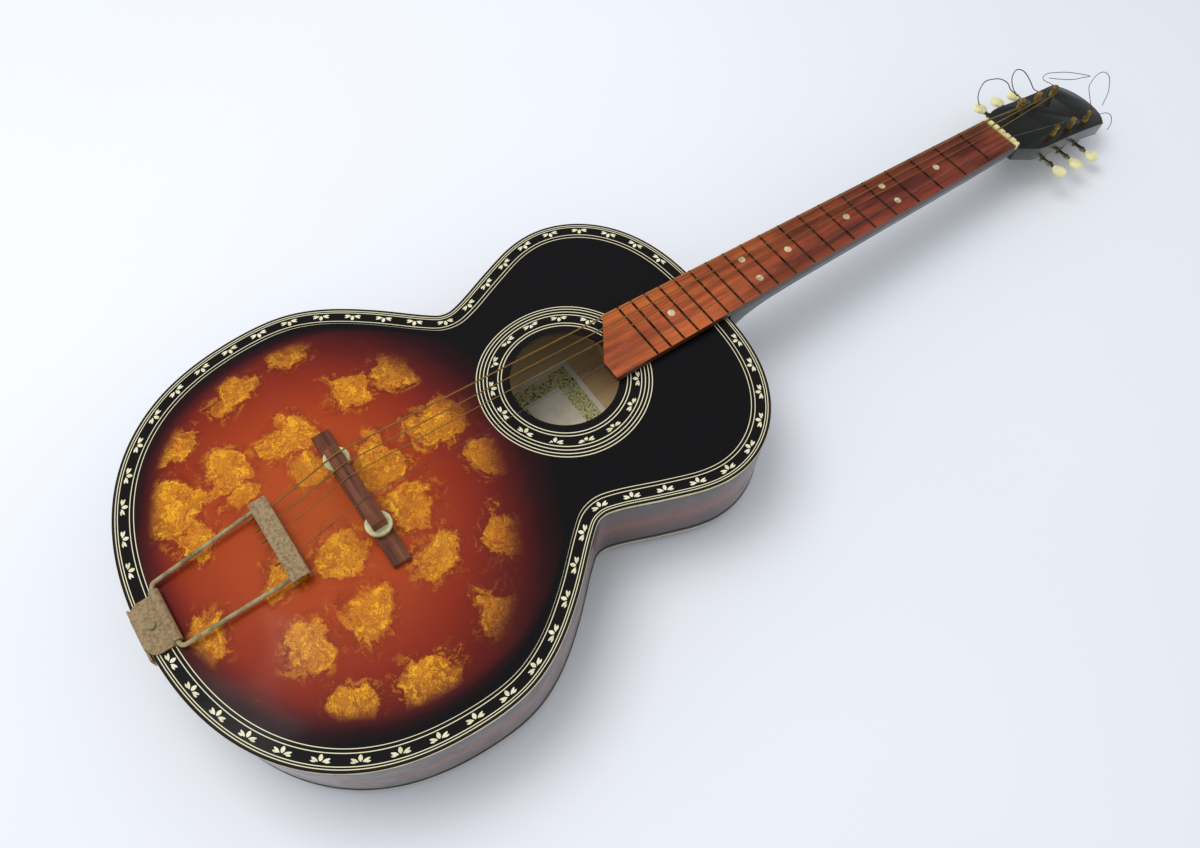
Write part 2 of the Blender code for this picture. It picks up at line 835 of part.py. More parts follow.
def makeSaddle(look):
    half = 0.5 * saddleDepth
    crest = half - crestInset
    rings = []
    for x in np.linspace(-saddleHalfLength, saddleHalfLength, 9):
        high = saddleTop - saddleCamber * (x / saddleHalfLength) ** 2
        outline = [
            (-half, saddleBottom), (half, saddleBottom), (half, high - saddleFrontBevel),
            (crest + crestHalfWidth, high - crestRounding), (crest, high),
            (crest - crestHalfWidth, high - crestRounding), (-half, high - saddleBackFall),
        ]
        rings.append([(bridgeX + x, bridgeY + y, z) for y, z in outline])
    bores = threadBores(saddleBottom - 0.002, saddleBottom + saddleBoreDepth)
    saddle = combine(loft("saddle", rings), bores, "DIFFERENCE")
    addMesh("saddle", saddle, look, (bridgeX, bridgeY, saddleBottom))


def makeWheels(metal, ivory):
    """The two threaded posts, and the thumbwheels that carry the saddle."""
    bottom, top = baseBoreBottom + postSeat, saddleBottom + postReach
    post = [
        (threadRadius - postChamfer, bottom), (threadRadius, bottom + postChamfer),
        (threadRadius, top - postChamfer), (threadRadius - postChamfer, top),
    ]
    low, high = wheelBottom, wheelBottom + wheelThickness
    face = wheelRadius - wheelChamfer
    wheel = [
        (wheelBore, low), (face, low), (wheelRadius, low + wheelChamfer),
        (wheelRadius, high - wheelChamfer), (face, high), (wheelBore, high),
    ]
    for side, word in ((-1, "bass"), (1, "treble")):
        spot = (bridgeX + side * wheelX, bridgeY, 0.0)
        addMesh("bridge_post_" + word, turned("post", post, 8, spot), metal)
        ring = turned("wheel", wheel, wheelSteps, spot, closed=True)
        addMesh("thumbwheel_" + word, ring, ivory, (spot[0], spot[1], low))


def bracketOutline(tail, low, high):
    """The sheet seen from its side: leg, fold over the rim, and roll round the wire."""
    outline = [
        (tail - bracketThickness, bracketLegBottom), (tail, bracketLegBottom), (tail, low),
        (barrelY - barrelRadius + 0.0004, low),
    ]
    for k in range(1, rollSteps + 1):
        a = rollOuterFrom + rollOuterSweep * k / rollSteps
        outline.append((barrelY + barrelRadius * math.cos(a), barrelZ + barrelRadius * math.sin(a)))
    for k in range(rollSteps, 0, -1):
        a = rollInnerFrom + rollInnerSweep * k / rollSteps
        outline.append((barrelY + barrelBore * math.cos(a), barrelZ + barrelBore * math.sin(a)))
    outline += [
        (barrelY - barrelRadius + 0.0010, high), (tail - 0.0002, high),
        (tail - bracketThickness, high - bracketFoldRound),
    ]
    return outline


def bracketCuts(side, tail):
    """Cutters that round one corner of the plate and narrow the leg below it."""
    edge = side * (bracketHalfWidth + 0.002)
    inner = bracketHalfWidth - bracketCorner
    behind = tail - 0.004
    corner = [(edge, behind), (side * inner, behind)]
    for k in range(5):
        a = math.radians(90.0 * k / 4)
        across = inner + (bracketCorner + 0.0001) * math.sin(a)
        corner.append((side * across, tail - gap + bracketCorner * (1 - math.cos(a))))
    corner.append((edge, corner[-1][1]))
    leg = [
        (side * legHalfWidth, bracketLegBottom - 0.003), (edge, bracketLegBottom - 0.003),
        (edge, legTop + 0.001), (side * (bracketHalfWidth - 0.001), legTop - 0.001),
    ]
    return prism("corner", corner, -0.001, 0.010), prism("leg", leg, behind, tail + 0.003, axes="xzy")


def makeBracket(look):
    tail = bodyTailY - gap
    outline = bracketOutline(tail, gap, gap + bracketThickness)
    bracket = prism("bracket", outline, -bracketHalfWidth, bracketHalfWidth, axes="yzx")
    hole = [(fastenerHole, -0.004), (fastenerHole, 0.004)]
    cuts = [turned("hole", hole, 12, (0.0, rivetY, 0.001), "z")]
    cuts.append(turned("hole", hole, 12, (0.0, tail, tailScrewZ), "y"))
    for side in (-1, 1):
        cuts += bracketCuts(side, tail)
    addMesh("tail_bracket", combine(bracket, cuts, "DIFFERENCE"), look)


def makeFasteners(look):
    """The rivet through the bracket's plate and the screw through its leg."""
    rivet = turned("rivet", fastenerProfile, 12, (0.0, rivetY, 2 * gap))
    addMesh("bracket_rivet", rivet, look)
    outwards = [(radius, -height) for radius, height in fastenerProfile]
    screw = turned("screw", outwards, 12, (0.0, bodyTailY - 2 * gap, tailScrewZ), "y")
    addMesh("tail_screw", screw, look)


def makeTrapezeWire(look):
    corner = Vector((bracketHalfWidth + wireBend + 0.0006, barrelY, barrelZ))
    before = corner - Vector((wireBend, 0.0, 0.0))
    endZ = 0.5 * (barTop - barWall + barBottom)
    end = Vector((barHalfLength - wireEndInset, barY - wireEndBack, endZ))
    after = corner + (end - corner).normalized() * wireBend
    half = [Vector((0.0, barrelY, barrelZ)), before]
    for k in range(1, 5):
        t = k / 4.0
        half.append(before * (1 - t) ** 2 + corner * 2 * t * (1 - t) + after * t ** 2)
    half.append(end)
    route = [(-x, y, z) for x, y, z in half[:0:-1]] + half
    wire = swept("wire", route, [wireRadius] * len(route), 8)
    addMesh("trapeze_wire", wire, look, (0.0, barrelY, barrelZ))


def makeAnchorBar(look):
    """A folded sheet, open below, with a slot for each string and each end of the wire."""
    front, tail = barY + barHalfDepth, barY - barHalfDepth
    ceiling = barTop - barWall
    outline = [
        (tail, barBottom), (tail + barWall, barBottom), (tail + barWall, ceiling),
        (front - barWall, ceiling), (front - barWall, barBottom), (front, barBottom),
        (front, barTop - barChamfer), (front - barChamfer, barTop), (tail + barChamfer, barTop),
        (tail, barTop - barChamfer),
    ]
    bar = prism("bar", outline, -barHalfLength, barHalfLength, axes="yzx")
    low, high = barBottom - 0.001, ceiling - gap
    slots = []
    for place in range(6):
        x = stringX(place, barSpread)
        near = (x - slotHalfWidth, tail - 0.001, low)
        slots.append(box("slot", near, (x + slotHalfWidth, front + 0.001, high)))
    for side in (-1, 1):
        x = side * (barHalfLength - wireEndInset)
        near = (x - wireSlotHalfWidth, tail - 0.001, low)
        slots.append(box("slot", near, (x + wireSlotHalfWidth, tail + barWall + 0.001, high)))
    bar = combine(bar, slots, "DIFFERENCE")
    addMesh("anchor_bar", bar, look, (0.0, barrelY, barrelZ))


def stringRoute(place, radius):
    """From the ball at the bar, over the saddle and the nut, to its tuning post."""
    spreads = (barSpread, saddleSpread, nutSpread)
    xBar, xSaddle, xNut = (stringX(place, spread) for spread in spreads)
    ball = barY - barHalfDepth - ballGap
    route = [(xBar, ball - share * ballLength, ballZ) for share in (1.0, 0.72, 0.39, 0.0)]
    route.append((xBar, barY + barHalfDepth, slotExitZ - 0.5 * radius))
    fall = saddleCamber * ((xSaddle - bridgeX) / saddleHalfLength) ** 2
    over = saddleTop - fall + radius + gap
    crestY = bridgeY + 0.5 * saddleDepth - crestInset
    crest = ((-0.0030, -0.0007), (0.0, 0.0001), (0.0030, 0.0))
    route += [(xSaddle, crestY + along, over + up) for along, up in crest]
    nutHigh = boardTop(0.0) + nutTopAboveBoard - notchDepth + gap + radius
    route.append((0.5 * (xSaddle + xNut), 0.5 * crestY, 0.5 * (over + nutHigh)))
    side = -1 if place < 3 else 1
    row = postRows[place if place < 3 else 5 - place]
    reach = side * (postX - postRadius - radius - gap)
    post = Vector(headPoint(reach, row, grooveLow + 0.0005))
    nutBack = Vector((xNut, nutThickness - 0.0004, nutHigh - 0.0001))
    route += [(xNut, 0.0008, nutHigh), nutBack, nutBack.lerp(post, 0.5), post]
    return route


def makeStrings(look):
    for name, radius in stringRadii.items():
        route = stringRoute(stringPlaces[name], radius)
        radii = [0.5 * ballRadius, ballRadius, ballRadius] + [radius] * (len(route) - 3)
        addMesh(name, swept(name, route, radii, stringSides), look)


def headEmpty(name, x, along, up):
    """A guide on the headstock whose Y runs towards its tip and whose Z leaves its face."""
    empty = bpy.data.objects.new(name, None)
    empty.location = headPoint(x, along, up)
    empty.rotation_euler = (-headTilt, 0.0, 0.0)
    empty.parent = guitar
    collection.objects.link(empty)
    return empty


def gearMesh():
    """String post with its gear: one tooth faces the worm, and all lean like its thread."""
    lean = wormLead / (2 * math.pi * (wormSpacing - gearPitchRadius))
    toothAngle = 2 * math.pi / gearTeeth
    tooth = (
        (-toothRootShare, gearRootRadius), (-toothTipShare, gearTipRadius),
        (toothTipShare, gearTipRadius), (toothRootShare, gearRootRadius),
    )
    rings = []
    for up in (-0.5 * gearThickness, 0.5 * gearThickness):
        ring = []
        for number in range(gearTeeth):
            middle = toothAngle * number - math.pi / 2 + lean * up / gearPitchRadius
            for share, radius in tooth:
                a = middle + share * toothAngle
                ring.append((radius * math.cos(a), radius * math.sin(a), up - machineDrop))
        rings.append(ring)
    profile = [
        (hubRadius, -machineDrop - hubHalfLength), (hubRadius, -machineDrop + hubHalfLength),
        (postRadius, -machineDrop + hubHalfLength), (postRadius, grooveLow - grooveFlare),
        (grooveRadius, grooveLow), (grooveRadius, grooveHigh),
        (postRadius, grooveHigh + grooveFlare), (postRadius - 0.0004, postTop),
    ]
    return combine(turned("post", profile, 8), [loft("gear", rings)], "UNION")


def wormMesh(side):
    """Worm, shaft and collar turning about X; the thread is one helical ridge."""
    steps = wormSteps
    turns = steps * wormTurns
    start = -0.5 * wormLead * (wormTurns + 1)
    points, faces = [], []

    def put(radius, step, along):
        angle = 2 * math.pi * step / steps
        points.append((side * along, radius * math.cos(angle), side * radius * math.sin(angle)))
        return len(points) - 1

    def ringAt(radius, along):
        return [put(radius, k, along) for k in range(steps)]

    def extend(ring, stops):
        for radius, along in stops:
            following = ringAt(radius, along)
            for k in range(steps):
                n = (k + 1) % steps
                faces.append((ring[k], ring[n], following[n], following[k]))
            ring = following
        faces.append(tuple(ring))

    pitch = wormLead / steps
    root = [put(wormRootRadius, i, start + pitch * i) for i in range(turns + steps + 1)]
    crest = [put(wormCrestRadius, i, start + pitch * (i + 0.5 * steps)) for i in range(turns + 1)]
    for i in range(turns):
        faces.append((root[i], root[i + 1], crest[i + 1], crest[i]))
        faces.append((crest[i], crest[i + 1], root[i + steps + 1], root[i + steps]))

    innerEnd = start - wormShoulder
    inner = ringAt(wormRootRadius, innerEnd)
    first = root[:steps + 1]
    for k in range(steps - 1):
        faces.append((inner[k], inner[k + 1], first[k + 1], first[k]))
    faces.append((inner[-1], inner[0], first[0], first[steps], first[steps - 1]))
    faces.append((first[0], crest[0], first[steps]))

    outerEnd = -innerEnd
    outer = ringAt(wormRootRadius, outerEnd)
    final = root[-steps - 1:]
    for k in range(1, steps):
        faces.append((final[k], final[k + 1], outer[(k + 1) % steps], outer[k]))
    faces.append((final[0], final[1], outer[1], outer[0], final[steps]))
    faces.append((crest[-1], final[0], final[steps]))

    extend(inner, [(shaftRadius, innerEnd - journalLength)])
    extend(outer, [
        (shaftRadius, collarStart), (collarRadius, collarStart),
        (collarRadius, collarEnd), (shaftRadius, collarEnd + 0.0005),
        (shaftTipRadius, buttonX - postX - 0.0005),
    ])
    return meshFrom("worm", points, faces)


def buttonMesh(side):
    """Flattened oval button with a bored neck that slides over the shaft's end."""
    sides = 10
    middle = buttonX - postX
    neckEnd = middle - buttonShort - buttonNeckLength
    bore = shaftTipRadius + gap

    def ring(along, wide, thick):
        turns = [2 * math.pi * k / sides for k in range(sides)]
        return [(side * along, wide * math.cos(a), thick * math.sin(a)) for a in turns]

    rings = [ring(middle - 0.0001, bore, bore), ring(neckEnd, bore, bore)]
    rings.append(ring(neckEnd, buttonNeckRadius, buttonNeckRadius))
    for share in (-0.92, -0.40, 0.40, 0.90, 0.99):
        bulge = math.sqrt(1.0 - share * share)
        wide, thick = buttonLong * bulge ** 0.8, buttonThick * bulge ** 0.6
        rings.append(ring(middle + buttonShort * share, wide, thick))
    return loft("button", rings)


def makePlates(look):
    """Two strips on the headstock's back, with lugs that carry the worm shafts."""
    high = -headThickness - gap
    low = high - plateThickness
    for side, word in ((-1, "bass"), (1, "treble")):
        xs = sorted((side * plateInnerX, side * plateOuterX))
        first, last = postRows[0] - plateBefore, postRows[-1] + plateAfter
        strip = box("strip", (xs[0], first, low), (xs[1], last, high))
        lugs, bores = [], []
        for row in postRows:
            axisY = row - wormSpacing
            for along in lugPlaces:
                x = postX + along
                ends = sorted((side * x, side * (x + lugThickness)))
                outline = [(axisY - lugRadius, low + 0.0004), (axisY + lugRadius, low + 0.0004)]
                for k in range(5):
                    a = math.radians(-180.0 * k / 4)
                    y, z = axisY + lugRadius * math.cos(a), -machineDrop + lugRadius * math.sin(a)
                    outline.append((y, z))
                lugs.append(prism("lug", outline, ends[0], ends[1], axes="yzx"))
            shaft = [(lugBore, -0.012), (lugBore, 0.012)]
            bores.append(turned("shaft", shaft, 8, (side * postX, axisY, -machineDrop), "x"))
            post = [(postRadius + postBoreGap, low - 0.002), (postRadius + postBoreGap, high + 0.002)]
            bores.append(turned("post", post, 8, (side * postX, row, 0.0)))
        plate = combine(combine(strip, lugs, "UNION"), bores, "DIFFERENCE")
        guide = headEmpty("machine_plate_guide_" + word, 0.0, 0.0, 0.0)
        addMesh("machine_plate_" + word, plate, look, parent=guide)


def makeMachines(metal, brass, cream):
    """Six tuners: bass side from the nut to the tip, then treble side back to the nut."""
    gear = gearMesh()
    for number in range(6):
        side = -1 if number < 3 else 1
        row = postRows[number if number < 3 else 5 - number]
        tag = str(number + 1)
        post = headEmpty("post_guide_" + tag, side * postX, row, 0.0)
        addMesh("string_post_" + tag, gear.copy(), brass, parent=post)
        shaft = headEmpty("shaft_guide_" + tag, side * postX, row - wormSpacing, -machineDrop)
        addMesh("worm_shaft_" + tag, wormMesh(side), metal, parent=shaft)
        addMesh("tuner_button_" + tag, buttonMesh(side), cream, parent=shaft)


bridgeWood = finish(0.20, 0.10, 0.06, 0.50)
wireSteel = finish(0.42, 0.38, 0.22, 0.38, 1.0)
onTop, underTop = makeTopPlate(finish(0.30, 0.09, 0.04, 0.25))
insideBack = makeBackPlate(finish(0.10, 0.04, 0.025, 0.30))
makeRim(finish(0.08, 0.035, 0.025, 0.30), finish(0.62, 0.45, 0.27, 0.75))
makeBindings(finish(0.75, 0.70, 0.50, 0.40))
makeBracing(underTop, insideBack, finish(0.66, 0.50, 0.31, 0.75))
makeBlocks(finish(0.60, 0.43, 0.25, 0.75))
makeNeck(finish(0.015, 0.014, 0.016, 0.22))
makeFingerboard(finish(0.28, 0.09, 0.05, 0.50))
makeSupport(onTop, finish(0.012, 0.011, 0.012, 0.35))
makeNut(finish(0.78, 0.72, 0.48, 0.40))
makeLabel(insideBack, finish(0.75, 0.70, 0.56, 0.80))
makeBridgeBase(onTop, bridgeWood)
makeSaddle(bridgeWood)
makeWheels(finish(0.45, 0.42, 0.30, 0.45, 1.0), finish(0.80, 0.76, 0.58, 0.35))
makeBracket(finish(0.34, 0.31, 0.19, 0.50, 1.0))
makeFasteners(wireSteel)
makeTrapezeWire(wireSteel)
makeAnchorBar(finish(0.33, 0.30, 0.20, 0.55, 1.0))
makeStrings(finish(0.38, 0.30, 0.20, 0.35, 1.0))
makePlates(finish(0.36, 0.31, 0.16, 0.45, 1.0))
makeMachines(
    finish(0.30, 0.28, 0.22, 0.42, 1.0),
    finish(0.40, 0.33, 0.15, 0.42, 1.0),
    finish(0.84, 0.80, 0.52, 0.32),
)
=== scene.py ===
# Looks of the archtop guitar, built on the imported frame. Metres; the guitar lies on its back,
# the neck runs along +Y and the treble side is +X.
import bpy
import bmesh
import math
import numpy as np
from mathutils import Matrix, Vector

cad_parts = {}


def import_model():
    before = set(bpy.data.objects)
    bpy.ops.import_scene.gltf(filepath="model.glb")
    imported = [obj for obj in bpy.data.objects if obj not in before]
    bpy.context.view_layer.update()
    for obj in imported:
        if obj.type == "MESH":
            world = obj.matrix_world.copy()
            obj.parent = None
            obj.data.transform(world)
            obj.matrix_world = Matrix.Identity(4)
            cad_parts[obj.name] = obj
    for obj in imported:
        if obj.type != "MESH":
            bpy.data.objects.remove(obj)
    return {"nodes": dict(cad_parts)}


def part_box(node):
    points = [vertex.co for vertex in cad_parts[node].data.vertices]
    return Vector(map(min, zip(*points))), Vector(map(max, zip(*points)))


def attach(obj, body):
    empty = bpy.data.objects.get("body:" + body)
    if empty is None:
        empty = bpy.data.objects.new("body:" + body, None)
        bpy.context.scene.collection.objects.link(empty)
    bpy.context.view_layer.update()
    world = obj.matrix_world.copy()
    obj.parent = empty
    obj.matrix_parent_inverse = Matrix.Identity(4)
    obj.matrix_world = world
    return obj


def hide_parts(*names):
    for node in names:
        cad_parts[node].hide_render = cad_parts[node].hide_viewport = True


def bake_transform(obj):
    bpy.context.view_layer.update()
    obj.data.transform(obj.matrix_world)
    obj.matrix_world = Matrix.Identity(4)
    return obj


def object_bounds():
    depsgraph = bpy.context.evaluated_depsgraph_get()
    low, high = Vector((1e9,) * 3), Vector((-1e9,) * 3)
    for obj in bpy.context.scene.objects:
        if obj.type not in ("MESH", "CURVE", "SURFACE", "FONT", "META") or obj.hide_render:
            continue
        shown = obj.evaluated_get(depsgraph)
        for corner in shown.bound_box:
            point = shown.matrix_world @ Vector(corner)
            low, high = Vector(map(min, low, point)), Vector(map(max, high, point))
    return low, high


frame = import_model()
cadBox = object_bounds()
nodes = frame["nodes"]
collection = bpy.context.scene.collection

# Where the nut's front edge stands, and the sizes that the frame was drawn from
nutY = 0.34475
rimZ = 0.0805
scaleLength = 0.640
fretCount = 19
joinFret = 14
sideDepth = 0.0715
topArch = 0.0075
backArch = 0.0090
topThickness = 0.0032
backThickness = 0.0030
ribThickness = 0.0022
topSwell = 0.070
backSwell = 0.042
borderWidth = 0.0140
bindingWidth = 0.0018
bindingHeight = 0.0060
plateInset = 0.0021
ribInset = 0.0004
ribNeckEnd = 0.0135
gap = 0.0003
holeRadius = 0.0415
holeY = nutY - 0.495
boardTopAtJoin = 0.0075
boardSlope = -0.070
boardThickness = 0.0055
tuck = 0.00035
stepsPerSpan = 6


def tint(red, green, blue):
    """Linear colour of a screen colour given as 0 to 255."""
    def straight(value):
        value /= 255.0
        return value / 12.92 if value <= 0.04045 else ((value + 0.055) / 1.055) ** 2.4
    return (straight(red), straight(green), straight(blue), 1.0)


# --- Shader building ---
def place(tree, kind, inputs=None, **settings):
    """A node with its settings; each input is a value or another node's socket."""
    item = tree.nodes.new(kind)
    for key, value in settings.items():
        setattr(item, key, value)
    for key, value in (inputs or {}).items():
        if isinstance(value, bpy.types.NodeSocket):
            tree.links.new(value, item.inputs[key])
        else:
            item.inputs[key].default_value = value
    return item


def calc(tree, operation, *values):
    return place(tree, "ShaderNodeMath", dict(enumerate(values)), operation=operation).outputs[0]


def mixColour(tree, share, first, second, blend="MIX"):
    sockets = {0: share, 6: first, 7: second}
    item = place(tree, "ShaderNodeMix", sockets, data_type="RGBA", blend_type=blend)
    return item.outputs[2]


def ramp(tree, value, stops):
    """Colours along a value, as (place, colour) pairs."""
    item = place(tree, "ShaderNodeValToRGB", {0: value})
    band = item.color_ramp
    while len(band.elements) < len(stops):
        band.elements.new(0.5)
    for element, (spot, colour) in zip(band.elements, stops):
        element.position = spot
        element.color = colour
    return item.outputs[0]


def fade(tree, value, low, high, first=0.0, last=1.0):
    """A smooth step of a value between two places."""
    sockets = {0: value, 1: low, 2: high, 3: first, 4: last}
    item = place(tree, "ShaderNodeMapRange", sockets, interpolation_type="SMOOTHSTEP")
    return item.outputs[0]


def sideways(tree):
    """1 on upright faces, 0 on level ones."""
    normal = tree.nodes.new("ShaderNodeNewGeometry").outputs["True Normal"]
    level = calc(tree, "ABSOLUTE", place(tree, "ShaderNodeSeparateXYZ", {0: normal}).outputs[2])
    return fade(tree, level, 0.70, 0.85, 1.0, 0.0)


def startGroup(name, inputs, outputs):
    tree = bpy.data.node_groups.new(name, "ShaderNodeTree")
    for label, kind, value in inputs:
        socket = tree.interface.new_socket(label, in_out="INPUT", socket_type=kind)
        if value is not None:
            socket.default_value = value
    for label, kind in outputs:
        tree.interface.new_socket(label, in_out="OUTPUT", socket_type=kind)
    return tree, tree.nodes.new("NodeGroupInput"), tree.nodes.new("NodeGroupOutput")


def useGroup(tree, group, inputs):
    item = tree.nodes.new("ShaderNodeGroup")
    item.node_tree = group
    for key, value in inputs.items():
        if isinstance(value, bpy.types.NodeSocket):
            tree.links.new(value, item.inputs[key])
        else:
            item.inputs[key].default_value = value
    return item


def makeLineMask():
    """1 on a thin line at one distance, 0 beside it."""
    inputs = [("Distance", "NodeSocketFloat", 0.0), ("Centre", "NodeSocketFloat", 0.0),
              ("HalfWidth", "NodeSocketFloat", 0.0004)]
    tree, start, end = startGroup("lineMask", inputs, [("Mask", "NodeSocketFloat")])
    away = calc(tree, "ABSOLUTE", calc(tree, "SUBTRACT", start.outputs["Distance"],
                                       start.outputs["Centre"]))
    beyond = calc(tree, "SUBTRACT", away, start.outputs["HalfWidth"])
    tree.links.new(fade(tree, beyond, -0.00006, 0.00006, 1.0, 0.0), end.inputs["Mask"])
    return tree


def makeWoodGrain():
    """Long streaks and pores along one axis, as a colour share and a height."""
    inputs = [("Vector", "NodeSocketVector", None), ("Along", "NodeSocketVector", (1.0, 0.06, 1.0)),
              ("Scale", "NodeSocketFloat", 220.0)]
    outputs = [("Streak", "NodeSocketFloat"), ("Pores", "NodeSocketFloat"),
               ("Height", "NodeSocketFloat")]
    tree, start, end = startGroup("woodGrain", inputs, outputs)
    stretched = place(tree, "ShaderNodeVectorMath", {0: start.outputs["Vector"],
                                                     1: start.outputs["Along"]},
                      operation="MULTIPLY").outputs[0]
    broad = place(tree, "ShaderNodeTexNoise", {
        "Vector": stretched, "Scale": calc(tree, "MULTIPLY", start.outputs["Scale"], 0.35),
        "Detail": 5.0, "Roughness": 0.6, "Distortion": 0.4}).outputs[0]
    fine = place(tree, "ShaderNodeTexNoise", {
        "Vector": stretched, "Scale": calc(tree, "MULTIPLY", start.outputs["Scale"], 3.5),
        "Detail": 3.0, "Roughness": 0.7}).outputs[0]
    pores = fade(tree, fine, 0.60, 0.70)
    tree.links.new(fade(tree, broad, 0.32, 0.68), end.inputs["Streak"])
    tree.links.new(pores, end.inputs["Pores"])
    tree.links.new(calc(tree, "SUBTRACT", broad, calc(tree, "MULTIPLY", pores, 0.5)),
                   end.inputs["Height"])
    return tree


def makeWear():
    """Dull patches, fine scratches and dust, for gloss and old metal."""
    inputs = [("Vector", "NodeSocketVector", None), ("Scale", "NodeSocketFloat", 30.0),
              ("Amount", "NodeSocketFloat", 0.5)]
    outputs = [("Patches", "NodeSocketFloat"), ("Specks", "NodeSocketFloat"),
               ("Height", "NodeSocketFloat")]
    tree, start, end = startGroup("wear", inputs, outputs)
    patches = place(tree, "ShaderNodeTexNoise", {
        "Vector": start.outputs["Vector"], "Scale": start.outputs["Scale"],
        "Detail": 6.0, "Roughness": 0.65}).outputs[0]
    specks = place(tree, "ShaderNodeTexNoise", {
        "Vector": start.outputs["Vector"],
        "Scale": calc(tree, "MULTIPLY", start.outputs["Scale"], 14.0),
        "Detail": 2.0, "Roughness": 0.5}).outputs[0]
    cut = fade(tree, specks, 0.60, 0.72)
    tree.links.new(calc(tree, "MULTIPLY", fade(tree, patches, 0.40, 0.66),
                        start.outputs["Amount"]), end.inputs["Patches"])
    tree.links.new(calc(tree, "MULTIPLY", cut, start.outputs["Amount"]), end.inputs["Specks"])
    tree.links.new(calc(tree, "ADD", patches, calc(tree, "MULTIPLY", specks, 0.4)),
                   end.inputs["Height"])
    return tree


lineMask = makeLineMask()
woodGrain = makeWoodGrain()
wear = makeWear()


def startMaterial(name, **fixed):
    """A material's tree, its Principled node and its object coordinates."""
    material = bpy.data.materials.new(name)
    material.use_nodes = True
    tree = material.node_tree
    shader = tree.nodes["Principled BSDF"]
    for key, value in fixed.items():
        shader.inputs[key.replace("_", " ")].default_value = value
    spot = place(tree, "ShaderNodeTexCoord").outputs["Object"]
    return material, tree, shader, spot


def relief(tree, shader, height, strength, distance):
    sockets = {"Strength": strength, "Distance": distance, "Height": height}
    bump = place(tree, "ShaderNodeBump", sockets)
    tree.links.new(bump.outputs[0], shader.inputs["Normal"])


def feed(tree, shader, **sockets):
    for key, value in sockets.items():
        tree.links.new(value, shader.inputs[key.replace("_", " ")])


black = (0.0045, 0.0038, 0.0048, 1.0)
cream = tint(232, 224, 186)

topLook = {
    "burstCentre": (-0.004, -0.352), "reachX": 0.172, "reachNeck": 0.138, "reachTail": 0.162,
    "stops": [(0.0, tint(178, 78, 24)), (0.34, tint(164, 60, 18)), (0.54, tint(134, 38, 16)),
              (0.68, tint(92, 22, 18)), (0.80, tint(44, 12, 16)), (0.90, black)],
    "span": 1.30,
    "blobScale": 19.0, "amber": tint(232, 164, 26), "amberDeep": tint(200, 118, 20),
    "stroke": tint(104, 30, 10),
    "rimLines": (0.0025, 0.0042, 0.0123, 0.0151), "rimBlack": 0.0157,
    "holeLines": (0.06665, 0.06415, 0.06135, 0.05855, 0.05035, 0.04785), "holeBlack": 0.0672,
}


